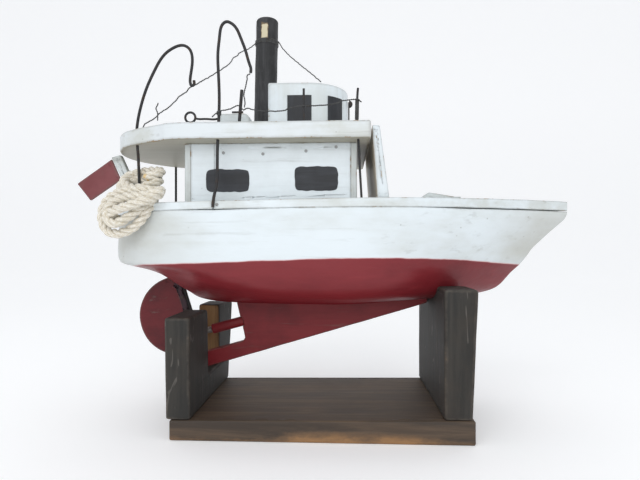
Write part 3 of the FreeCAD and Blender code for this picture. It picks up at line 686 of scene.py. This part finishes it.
def chimney_paint():
    f = Finish("chimney_paint")
    grain = f.noise(80.0, 6.0, 0.7, (1, 1, 0.18), 0.4)
    blotch = f.noise(60.0, 5.0, 0.7)
    colour = f.mix(f.band(grain, 0.35, 0.7), (0.012, 0.012, 0.013), (0.050, 0.050, 0.053))
    colour = f.mix(f.times(f.band(blotch, 0.55, 0.72), 0.6), colour, (0.075, 0.075, 0.078))
    colour = f.mix(f.band(f.attribute("chip"), 0.40, 0.48), colour, (0.16, 0.11, 0.06))
    colour = f.mix(f.band(f.attribute("chip"), 0.50, 0.58), colour, (0.62, 0.55, 0.38))
    rub = f.plus(f.attribute("edge"), f.times(f.noise(90.0, 5.0, 0.7), 0.8))
    colour = f.mix(f.times(f.band(rub, 1.2, 1.5), 0.7), colour, (0.11, 0.10, 0.09))
    f.colour(colour)
    f.rough(f.ranged(blotch, 0.5, 0.8))
    f.bump(f.plus(grain, f.times(blotch, 0.8)), 0.0012, 0.6)
    return f.material


def rope_cotton():
    """Cream three-strand cotton: fine yarns along each strand, dirt in the hollows."""
    f = Finish("rope_cotton")
    place = f.node("CombineXYZ")
    f.wire(f.times(f.attribute("along"), 240.0), place.inputs[0])
    f.wire(f.times(f.attribute("around"), 9.0), place.inputs[1])
    yarn = f.node("TexNoise")
    yarn.inputs["Scale"].default_value = 1.6
    yarn.inputs["Detail"].default_value = 4.0
    f.wire(place.outputs[0], yarn.inputs["Vector"])
    fuzz = f.noise(900.0, 3.0, 0.7)
    blotch = f.noise(28.0, 4.0, 0.6)
    colour = f.mix(f.band(yarn.outputs["Fac"], 0.35, 0.66), (0.66, 0.59, 0.46), (0.86, 0.83, 0.76))
    colour = f.mix(f.times(f.band(blotch, 0.5, 0.72), 0.35), colour, (0.52, 0.47, 0.35))
    colour = f.mix(f.times(f.band(f.attribute("along"), 0.0035, 0.0018), 0.85), colour, (0.72, 0.50, 0.20))
    f.colour(colour)
    f.rough(0.92)
    f.shader.inputs["Sheen Weight"].default_value = 0.25
    f.shader.inputs["Sheen Roughness"].default_value = 0.5
    f.bump(f.plus(yarn.outputs["Fac"], f.times(fuzz, 0.5)), 0.0006, 0.7)
    return f.material


def rudder_wood():
    f = Finish("rudder_strip_wood")
    grain = f.noise(110.0, 6.0, 0.7, ALONG_Z, 0.5)
    colour = f.mix(f.band(grain, 0.4, 0.66), (0.022, 0.010, 0.014), (0.085, 0.035, 0.050))
    f.colour(f.mix(f.band(f.noise(60.0, 5.0, 0.7), 0.60, 0.68), colour, (0.13, 0.07, 0.06)))
    f.rough(0.7)
    f.bump(grain, 0.0012, 0.7)
    return f.material


def tin_plate():
    f = Finish("tin_plate")
    patchy = f.noise(90.0, 5.0, 0.6)
    f.colour(f.mix(f.band(patchy, 0.4, 0.7), (0.42, 0.41, 0.38), (0.20, 0.13, 0.08)))
    f.rough(f.ranged(patchy, 0.35, 0.65))
    f.shader.inputs["Metallic"].default_value = 0.85
    f.bump(f.noise(260.0, 3.0), 0.0002, 0.4)
    return f.material


# ------------------------------------------------------------------ hull and deck

def level_at(z):
    return [np.interp(z, HULL_LEVELS[:, 0], HULL_LEVELS[:, k]) for k in range(1, 5)]


def side_line(stern_x, bow_x, half, round_length):
    """Starboard half of one hull level, from the stern's middle round to the nose."""
    points = []
    for k in range(40):
        turn = 0.5 * math.pi * k / 40
        points.append((stern_x + round_length * (1 - math.cos(turn)), -half * math.sin(turn)))
    start = stern_x + round_length
    for k in range(24):
        points.append((start + (SHOULDER_X - start) * k / 24, -half))
    for k in range(61):
        share = k / 60
        x = SHOULDER_X + (bow_x - SHOULDER_X) * share
        points.append((x, -(NOSE_HALF + (half - NOSE_HALF) * (1 - share ** BOW_FULLNESS))))
    x, y = points[-1]
    points += [(x + 0.0006, y * 0.75), (x + 0.0010, y * 0.4), (x + 0.0011, 0.0)]
    return points


def hull():
    """The carved hull, both lifts: closely spaced levels, smoothed up and down."""
    low, high = HULL_LEVELS[0, 0], HULL_LEVELS[-1, 0]
    heights = np.concatenate([np.arange(low, -0.010, 0.0011), np.linspace(-0.010, high, 34)])
    lines = np.array([side_line(*level_at(z)) for z in heights])
    for _ in range(5):
        lines[1:-1] = 0.25 * lines[:-2] + 0.5 * lines[1:-1] + 0.25 * lines[2:]
    verts, above, edge, end_shade = [], [], [], []
    count = lines.shape[1]
    ring = 2 * count - 2
    for z, line in zip(heights, lines):
        both = [tuple(p) for p in line] + [(x, -y) for x, y in line[-2:0:-1]]
        for x, y in both:
            lift = deck_underside(x) - gap_under_deck(x)
            level = z if z < 0 else z * lift / high
            bend = noise.noise(Vector((x * 9, y * 9, level * 14))) * 0.0007
            wave = noise.noise(Vector((x * 40, y * 40, level * 40))) * 0.00018
            out = Vector((x * 0.15, y, 0)).normalized() * (bend + wave)
            verts.append(BOAT + Vector((x, y, level)) + out)
            above.append(level - paint_line(x))
            edge.append(max(0.0, 1 - (lift - level) / 0.004) * 0.8)
            # how far into the stern or the bow a point lies, where the hull paint adds painted shade
            end_shade.append(max(0.0, (-x - 0.12) / 0.15, (x - 0.13) / 0.15))
    faces = ring_faces(len(heights), ring)
    for base, turned in ((0, True), ((len(heights) - 1) * ring, False)):
        for i in range(count - 1):
            quad = [base + i, base + i + 1, base + (ring - i - 1) % ring, base + (ring - i) % ring]
            quad = list(dict.fromkeys(quad))
            faces.append(tuple(reversed(quad)) if turned else tuple(quad))
    made = new_object("carved_hull", verts, faces, {"above_line": above, "edge": edge, "end_shade": end_shade})
    finish_piece(made, hull_paint(), "boat", ["hull_upper_lift", "hull_bottom_lift"])


def gap_under_deck(x):
    """How far the deck board has sprung off the hull: a gap at the bow and at the aft butt."""
    bow = max(0.0, min(1.0, (x - 0.075) / 0.06))
    aft = max(0.0, 1 - abs(x + 0.135) / 0.055)
    return 0.0001 + 0.0013 * bow + 0.0009 * aft


def deck_outline(x_low, x_high):
    """The hull's top level between two X values."""
    line = [Vector(p) for p in side_line(*level_at(HULL_LEVELS[-1, 0]))]
    line = line + [Vector((p.x, -p.y)) for p in line[-2:0:-1]]
    kept = [Vector((min(max(p.x, x_low), x_high), p.y)) for p in line]
    return [BOAT.xy + p for i, p in enumerate(kept) if (p - kept[i - 1]).length > 1e-5]


DECK_SLAB = 0.009


def between_lines(v):
    """Puts a point of the flat deck board between the deck's underside and its sheer."""
    x = v.x - BOAT.x
    low, high = deck_underside(x), sheer(x)
    return Vector((v.x, v.y, BOAT.z + low + (high - low) * v.z / DECK_SLAB))


def deck():
    paint = painted_wood("deck_paint", ALONG_X, WHITE, WHITE_WARM, BARE_WOOD).material
    for name, x_low, x_high in (("fore_deck_board", DECK_BUTT_X + DECK_BUTT_GAP, 1.0),
                                ("aft_deck_board", -1.0, DECK_BUTT_X - DECK_BUTT_GAP)):
        made = slab(name + "_top", deck_outline(x_low, x_high), 0.0, DECK_SLAB, 2, radius=0.0007,
                    wave=0.0003, tilt=between_lines)
        finish_piece(made, paint, "boat", [name])


# ------------------------------------------------------------------ stand, keel, rudder, cabin

def base_top(x):
    """The base board's thickness, which grows from aft to fore."""
    return 0.5 * (BASE_THICK_AFT + BASE_THICK_FORE) + (BASE_THICK_FORE - BASE_THICK_AFT) * x / BASE_LENGTH


def base_taper(v):
    return Vector((v.x, v.y, v.z * base_top(v.x) / BASE_THICK_FORE))


def lean_aft(v):
    """The aft board's two faces lean a little, and the far prong grows thicker to its outer top corner."""
    high = max(0.0, (v.z - CRADLE_FOOT_Z) / AFT_RISE)
    far = max(0.0, (v.y - PRONG_Y) / PRONG_WIDTH)
    back = AFT_BACK[0] + AFT_BACK[1] * high
    front = AFT_FRONT[0] + AFT_FRONT[1] * high + PRONG_SWELL * high * far
    return Vector((back + (front - back) * v.x, v.y, v.z))


def lean_fore(v):
    high = max(0.0, (v.z - CRADLE_FOOT_Z) / FORE_RISE)
    back = FORE_BACK[0] + FORE_BACK[1] * high
    front = FORE_FRONT[0] + FORE_FRONT[1] * high
    return Vector((back + (front - back) * v.x, v.y, v.z))


def upright(node, share, lean, material):
    """A cradle board: its thickness runs from 0 to 1 and is then set between its two leaning faces."""
    outline = flat(section(node, 0, share)[0], 0)

    def placed(v):
        return lean(Vector((v.x / CRADLE_THICK, v.y, v.z)))

    made = slab(node + "_board", outline, 0.0, CRADLE_THICK, 0, 0.0028, tilt=placed)
    finish_piece(made, material, "stand", [node])


def stand():
    board_from("stand_base", 2, board_top(), "stand", "stand_stain", 0.0018, tilt=base_taper)
    upright("aft_cradle_board", 0.38, lean_aft, stained_board("aft_cradle_stain", ALONG_Z, bare_face=True))
    upright("fore_cradle_board", 0.5, lean_fore, stained_board("fore_cradle_stain", ALONG_Z))


def raise_top(v):
    """Lets the fin's upper edge run a little way into the hull."""
    return v + Vector((0, 0, 0.004 * max(0.0, min(1.0, (v.z - BOAT.z + 0.0690) / 0.003))))


def keel_and_rudder():
    fin = red_paint("keel_red", (0.09, 1, 1), (0.22, 0.017, 0.022), (0.15, 0.011, 0.015))
    disc = red_paint("rudder_red", (0.4, 1, 1), (0.135, 0.014, 0.018), (0.075, 0.009, 0.012))
    board_from("keel_fin", 1, fin, "boat", "red_paint", 0.0012, share=0.3, tilt=raise_top, rim=0.0026)
    board_from("rudder_blade", 1, disc, "rudder", "red_paint", 0.0010)
    board_from("rudder_edge_strip", 1, rudder_wood(), "rudder", "worn_rudder_wood", 0.0008, wave=0.0005)
    keep_node("stern_tube_dowel", fin)
    keep_node("propeller", tin_plate())


def shield_back(f):
    """The windshield board's aft face, thinly painted over tan wood."""
    patch = f.band(f.noise(40.0, 4.0, 0.6, ALONG_Z), 0.30, 0.62)
    return f.times(f.facing(0, -1), f.plus(0.45, f.times(patch, 0.5))), (0.68, 0.57, 0.44)


def roof_underside_shade(f):
    """Painted shade under the roof: its downward faces are darkened to a beige grey."""
    return f.times(f.facing(2, -1), 0.92), (0.33, 0.30, 0.225)


def house_foot(f):
    """Bare tan patches where the paint stops short of the roof."""
    patch = f.band(f.noise(60.0, 4.0, 0.6, ALONG_X), 0.34, 0.50)
    low = f.band(f.axis(2), BOAT.z + 0.1425, BOAT.z + 0.1385)
    aft = f.within(0, BOAT.x - 0.090, BOAT.x - 0.064, 0.003)
    fore = f.within(0, BOAT.x - 0.036, BOAT.x - 0.024, 0.004)
    return f.times(f.times(low, f.math("MAXIMUM", aft, fore)), patch), (0.50, 0.34, 0.19)


def cabin():
    wall = painted_wood("wall_paint", ALONG_X, WHITE, (0.66, 0.71, 0.73), BARE_WOOD).material
    post = painted_wood("wall_end_paint", ALONG_Z, (0.62, 0.66, 0.66), (0.44, 0.45, 0.42),
                        BARE_WOOD).material
    for side in ("starboard", "port"):
        inner = 0.93 if side == "starboard" else 0.07
        for plank in ("short", "long"):
            board_from("cabin_%s_%s_plank" % (side, plank), 1, wall, "boat", "white_paint", 0.0007,
                       share=inner)
    for end in ("aft", "fore"):
        board_from("cabin_%s_wall" % end, 0, post, "boat", "white_paint", 0.0009)
    dusty = painted_wood("shield_paint", ALONG_Z, WHITE, (0.60, 0.64, 0.64), BARE_WOOD,
                         bare_or_shade=shield_back).material
    board_from("windshield_board", 1, dusty, "boat", "white_paint", 0.001)
    # the roof's underside gets painted shade
    roof = painted_wood("roof_paint", ALONG_X, (0.70, 0.74, 0.76), (0.58, 0.60, 0.57), BARE_WOOD,
                        bare_or_shade=roof_underside_shade).material
    board_from("roof", 2, roof, "boat", "white_paint", 0.0018)
    house = painted_wood("house_paint", ALONG_Z, WHITE, (0.66, 0.70, 0.70), BARE_WOOD,
                         bare_or_shade=house_foot).material
    board_from("wheelhouse", 2, house, "boat", "white_paint", 0.0022, share=0.4)
    small = painted_wood("trim_paint", ALONG_X, (0.66, 0.70, 0.70), (0.48, 0.50, 0.47), BARE_WOOD).material
    for name, radius in (("foredeck_hatch", 0.0012), ("roof_hatch", 0.0012), ("flag_staff", 0.0009)):
        board_from(name, 1, small, "boat", "white_paint", radius)
    faded = red_paint("flag_red", (0.2, 1, 0.2), (0.225, 0.068, 0.073), (0.18, 0.048, 0.052))
    board_from("flag", 1, faded, "boat", "red_paint", 0.0008)


def pane(name, outline, inner, outer):
    """A thin panel of thick paint with a soft rim, its back towards the wall."""
    rings = [(outline, inner), (outline, inner + 0.6 * (outer - inner)), (inset(outline, 0.0003), outer)]
    verts = [Vector((p.x, y, p.y)) for line, y in rings for p in line]
    count = len(outline)
    faces = ring_faces(len(rings), count)
    faces.append(tuple(range(count)))
    faces.append(tuple(2 * count + i for i in range(count)))
    made = new_object(name, verts, faces, {})
    recalculate(made)
    flat_caps(made, count)
    return made


def hand_shake(p, seed):
    """How far a hand-painted outline strays at a point."""
    x, y = p.x * 150, p.y * 150
    return Vector((noise.noise(Vector((x, y, seed))), noise.noise(Vector((x, y, seed + 9))))) * 0.0008


def windows():
    paint = black_paint("window_paint", ALONG_X)
    for side in ("starboard", "port"):
        node = "cabin_%s_windows" % side
        low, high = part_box(node)
        panes = []
        for k, loop in enumerate(section(node, 1)):
            across, up = [p.x for p in loop], [p.z for p in loop]
            corners = [Vector((min(across), min(up))), Vector((max(across), min(up))),
                       Vector((max(across), max(up))), Vector((min(across), max(up)))]
            outline = soft_outline(corners, 0.0036, 0.0012)
            rough = [p + hand_shake(p, k) for p in outline]
            outer, inner = (low.y, high.y) if side == "starboard" else (high.y, low.y)
            panes.append(pane("%s_pane_%d" % (side, k), rough, inner, outer))
        finish_piece(join(panes, "%s_window_paint" % side), paint, "boat", [node])
    keep_node("wheelhouse_windows", black_paint("house_window_paint", ALONG_Z))


CHIMNEY_FOOT, CHIMNEY_HEAD, CHIMNEY_RADIUS = (-102.4, 14.0, 135.0), (-98.9, 14.0, 297.0), 0.0143
# the pale chip: how far below the top its middle is, how far aft, and half its height and width
CHIP_DOWN, CHIP_AFT, CHIP_HIGH, CHIP_WIDE = 0.0187, 0.0012, 0.0094, 0.0042


def chimney():
    """The dowel: slightly uneven, leaning, its top edge worn, with one pale chip near the top."""
    foot, head = boat(*CHIMNEY_FOOT), boat(*CHIMNEY_HEAD)
    way = (head - foot).normalized()
    side = way.cross(Vector((0, 1, 0))).normalized()
    other = way.cross(side)
    length, sides = (head - foot).length, 72
    stations = [0.0] + list(np.linspace(0.002, length - 0.0022, 70)) + [length - 0.0012, length - 0.0004,
                                                                        length]
    verts, edge, chip = [], [], []
    for s in stations:
        left = length - s
        drawn = CHIMNEY_RADIUS - max(0.0, 0.0016 - left) * 0.8
        for k in range(sides):
            turn = 2 * math.pi * k / sides
            out = side * math.cos(turn) + other * math.sin(turn)
            p = foot + way * s + out * (drawn + 0.0004 * noise.noise((foot + way * s + out * 0.01) * 60))
            verts.append(p)
            edge.append(max(0.0, 1 - left / 0.006))
            ragged = 1.0 + 0.30 * noise.noise(p * 300.0)
            across = abs((p.x - foot.x - way.x * s) + CHIP_AFT) / CHIP_WIDE
            near = max(across, abs(left - CHIP_DOWN) / CHIP_HIGH) * ragged
            chip.append(1.0 - 0.5 * near if out.y < 0 else 0.0)
    faces = ring_faces(len(stations), sides)
    faces.append(tuple(range(sides - 1, -1, -1)))
    faces.append(tuple((len(stations) - 1) * sides + k for k in range(sides)))
    made = new_object("chimney_dowel", verts, faces, {"edge": edge, "chip": chip})
    recalculate(made)
    finish_piece(made, chimney_paint(), "boat", ["chimney"])


# ------------------------------------------------------------------ rods, wires, nails

# points along each wire, in the boat's frame, in millimetres
WIRES = {
    "lifeline_wire": [
        (-142.1, -100.4, 142.3), (-134.6, -107.1, 145.2), (-129.0, -106.0, 147.4), (-122.0, -102.6, 149.8),
        (-112.6, -102.6, 153.6), (-107.4, -101.2, 149.4), (-102.7, -100.6, 150.9), (-92.1, -100.0, 148.9),
        (-79.6, -99.6, 147.9), (-64.4, -99.8, 148.2), (-58.9, -100.2, 150.3), (-50.6, -101.0, 151.9),
        (-42.3, -102.0, 152.6), (-34.0, -101.0, 152.8), (-17.5, -100.0, 153.6), (-6.5, -99.8, 155.8),
        (-1.0, -100.0, 157.8), (7.0, -101.4, 158.4), (15.4, -103.0, 158.4), (20.0, -101.6, 155.8)],
    "aft_stay_wire": [
        (-228.4, -76.0, 136.4), (-225.5, -76.5, 141.3), (-213.4, -77.4, 148.0), (-208.2, -78.0, 152.8),
        (-198.4, -78.0, 159.1), (-189.2, -78.0, 167.5), (-185.0, -78.0, 172.2), (-177.4, -78.0, 176.8),
        (-175.0, -76.6, 181.2), (-169.1, -75.6, 184.9), (-163.9, -70.0, 190.5), (-156.6, -54.0, 202.1),
        (-143.2, -30.0, 222.5), (-139.3, -23.0, 229.9), (-136.6, -18.0, 237.4), (-132.8, -12.0, 242.7),
        (-130.5, -8.0, 247.9), (-121.9, 4.0, 257.1), (-114.2, 13.0, 267.7)],
    "fore_stay_wire": [
        (-84.4, 14.0, 270.4), (-81.4, 12.0, 264.7), (-76.4, 9.0, 256.9), (-68.1, 4.0, 247.1),
        (-53.8, -12.0, 230.0), (-40.1, -30.0, 213.5), (-25.9, -47.5, 196.0)],
    "davit_fall_wire": [
        (-99.6, -103.8, 187.2), (-102.6, -103.2, 185.7), (-103.2, -103.0, 180.8), (-104.9, -103.0, 172.2),
        (-106.4, -103.0, 164.7), (-105.8, -102.8, 160.4), (-105.7, -102.6, 156.6), (-106.2, -102.4, 151.6)],
    "stay_wire_tail": [
        (-210.1, -79.1, 144.8), (-210.0, -79.1, 150.5), (-210.4, -79.1, 155.1), (-211.4, -79.1, 158.5),
        (-209.7, -79.1, 164.5)],
}


def smooth_through(points):
    """A curve that passes through the points."""
    line = []
    for i in range(len(points) - 1):
        p0, p1 = points[max(i - 1, 0)], points[i]
        p2, p3 = points[i + 1], points[min(i + 2, len(points) - 1)]
        for k in range(8):
            t = k / 8
            line.append(0.5 * (2 * p1 + (p2 - p0) * t + (2 * p0 - 5 * p1 + 4 * p2 - p3) * t * t
                               + (3 * p1 - p0 - 3 * p2 + p3) * t ** 3))
    return line + [points[-1]]


def metalwork():
    rod_black = dark_metal("rod_black")
    wire_grey = dark_metal("wire_grey", (0.10, 0.10, 0.10), (0.06, 0.045, 0.035), 0.8)
    rusty = dark_metal("nail_rust", (0.06, 0.045, 0.035), (0.12, 0.05, 0.02), 0.5)
    for name in ("davit_aft", "davit_middle", "rail_post_fore", "rail_post_aft", "rail_post_mid",
                 "rail_post_cross_bar", "port_aft_post", "ring_eye", "wheelhouse_lamp", "rudder_stock"):
        keep_node(name, rod_black)
    for name in ("post_wire_bindings", "chimney_wire_band"):
        keep_node(name, wire_grey)
    for name, points in WIRES.items():
        line, _ = even(smooth_through([boat(*p) for p in points]), 0.0006)
        uneven = [p + noise.noise_vector(p * 260.0) * 0.0005 for p in line]
        made = strands(name + "_twist", uneven, 2, 0.00042, 0.00040, 0.0042, 6)
        finish_piece(made, wire_grey, "boat", [name])
    for name in ("stand_nails", "rudder_nails", "propeller_nail"):
        keep_node(name, rusty)
    keep_node("boat_nails", dark_metal("painted_nail", (0.34, 0.35, 0.35), (0.14, 0.12, 0.10), 0.1))


# ------------------------------------------------------------------ rope

STRAND_OFF, STRAND_RADIUS, STRAND_PITCH = 0.00280, 0.00246, 0.028
# the hank's control points in the boat's frame, in millimetres: the cut end and two wraps round the davit,
# then two and a half oval turns that hang over the quarter, the last end tucked in behind them
ROPE_POINTS = [
    (-216.6, -97.0, 78.0), (-208.4, -98.0, 79.5), (-202.6, -92.0, 83.0), (-204.0, -82.0, 86.5),
    (-217.8, -73.0, 88.6), (-231.5, -70.0, 87.6), (-243.0, -71.5, 84.5), (-249.4, -79.0, 78.2),
    (-243.2, -89.0, 69.6), (-228.9, -96.5, 64.6), (-214.3, -99.0, 68.0), (-204.7, -95.0, 72.7),
    (-204.4, -85.0, 75.5), (-216.9, -75.5, 78.6), (-232.9, -71.5, 78.6), (-246.1, -73.0, 76.8),
    (-251.9, -80.0, 72.5), (-247.4, -90.0, 64.0), (-232.5, -99.0, 59.4), (-217.9, -102.0, 60.2),
    (-207.2, -97.0, 64.8), (-205.4, -90.0, 63.4), (-206.3, -92.0, 56.5), (-208.9, -100.0, 48.0),
    (-211.6, -107.0, 37.7), (-219.2, -110.0, 26.3), (-231.2, -110.0, 17.7), (-245.8, -108.0, 14.4),
    (-258.2, -104.0, 19.6), (-263.8, -101.0, 30.7), (-263.9, -100.0, 41.7), (-258.6, -101.0, 51.4),
    (-250.4, -103.0, 57.8), (-239.5, -105.0, 61.3), (-224.9, -108.0, 62.5), (-210.6, -111.0, 62.6),
    (-201.5, -112.0, 61.9), (-199.0, -107.0, 59.2), (-205.7, -104.0, 53.1), (-214.0, -108.0, 45.8),
    (-220.2, -114.0, 38.9), (-228.2, -118.0, 31.7), (-237.7, -118.5, 26.4), (-247.0, -116.0, 26.1),
    (-252.8, -113.0, 32.6), (-252.7, -112.0, 41.3), (-247.6, -112.5, 48.7), (-237.6, -114.0, 53.3),
    (-224.8, -116.0, 54.7), (-211.0, -118.0, 55.1), (-200.3, -118.0, 57.5), (-194.2, -114.0, 61.1),
    (-194.8, -106.5, 60.9), (-198.1, -111.0, 55.6), (-204.0, -119.5, 51.1), (-213.2, -123.0, 48.1),
    (-223.5, -124.0, 44.4), (-234.0, -123.0, 41.4), (-242.6, -119.5, 39.6), (-248.4, -113.0, 36.4),
    (-248.5, -107.0, 31.9), (-243.7, -103.0, 31.0),
]


def rope():
    line, length = even(route("rope_route", [boat(*p) for p in ROPE_POINTS]), 0.0012)
    made = strands("rope_hank_strands", line, 3, STRAND_OFF, STRAND_RADIUS, STRAND_PITCH, 12)
    finish_piece(made, rope_cotton(), "boat", ["rope_hank"])


# ------------------------------------------------------------------ stage

FLOOR_DEEP, FLOOR_NEAR, FLOOR_HALF, SWEEP, WALL_TOP = 2.5, -4.0, 6.0, 1.5, 5.0


def stage():
    """A pale floor that sweeps up into a wall far behind."""
    pale = Finish("pale_floor")
    pale.colour((0.97, 0.97, 0.97))
    pale.rough(0.95)
    pale.shader.inputs["Emission Color"].default_value = (1.0, 1.0, 1.0, 1.0)
    pale.shader.inputs["Emission Strength"].default_value = 0.12
    profile = [(FLOOR_NEAR, 0.0), (FLOOR_DEEP, 0.0)]
    for k in range(1, 17):
        turn = 0.5 * math.pi * k / 16
        profile.append((FLOOR_DEEP + SWEEP * math.sin(turn), SWEEP - SWEEP * math.cos(turn)))
    profile.append((FLOOR_DEEP + SWEEP, WALL_TOP))
    verts = [Vector((x, y, z - 0.0002)) for y, z in profile for x in (-FLOOR_HALF, FLOOR_HALF)]
    faces = [(2 * k, 2 * k + 1, 2 * k + 3, 2 * k + 2) for k in range(len(profile) - 1)]
    sweep = new_object("floor", verts, faces, {})
    sweep.data.materials.append(pale.material)


def area_light(name, place, aim, size, power, tint=(1, 1, 1)):
    data = bpy.data.lights.new(name, "AREA")
    data.energy = power
    data.size = size
    data.color = tint
    lamp = bpy.data.objects.new(name, data)
    lamp.location = place
    lamp.rotation_euler = (Vector(aim) - Vector(place)).to_track_quat("-Z", "Y").to_euler()
    bpy.context.scene.collection.objects.link(lamp)


CAMERA_AWAY, CAMERA_TURN, CAMERA_LENS, CAMERA_SHIFT = 0.637, 2.63, 28.125, 0.0125


def lights_and_camera():
    world = bpy.data.worlds.new("studio")
    world.use_nodes = True
    sky = world.node_tree.nodes["Background"]
    sky.inputs["Color"].default_value = (0.95, 0.97, 1.0, 1.0)
    sky.inputs["Strength"].default_value = 0.80
    scene = bpy.context.scene
    scene.world = world
    area_light("key", (-0.5, -1.5, 1.3), (0.02, 0.0, 0.2), 1.2, 7.0, (0.97, 0.99, 1.0))
    area_light("window", (0.42, -1.5, 0.75), (0.02, 0.0, 0.2), 0.45, 2.2)
    area_light("low_fill", (0.0, -1.6, 0.12), (0.02, 0.0, 0.15), 1.2, 1.5)
    camera_data = bpy.data.cameras.new("camera")
    camera_data.sensor_width = 36.0
    camera_data.lens = CAMERA_LENS
    camera_data.shift_y = CAMERA_SHIFT
    camera_data.clip_start = 0.01
    camera = bpy.data.objects.new("camera", camera_data)
    camera.location = (BOAT.x, BOAT.y - CAMERA_AWAY, BOAT.z)
    camera.rotation_euler = (math.radians(90), 0, math.radians(CAMERA_TURN))
    scene.collection.objects.link(camera)
    scene.camera = camera
    scene.view_settings.view_transform = "Standard"


# ------------------------------------------------------------------ build

hull()
deck()
stand()
keel_and_rudder()
cabin()
windows()
chimney()
metalwork()
rope()
stage()
lights_and_camera()
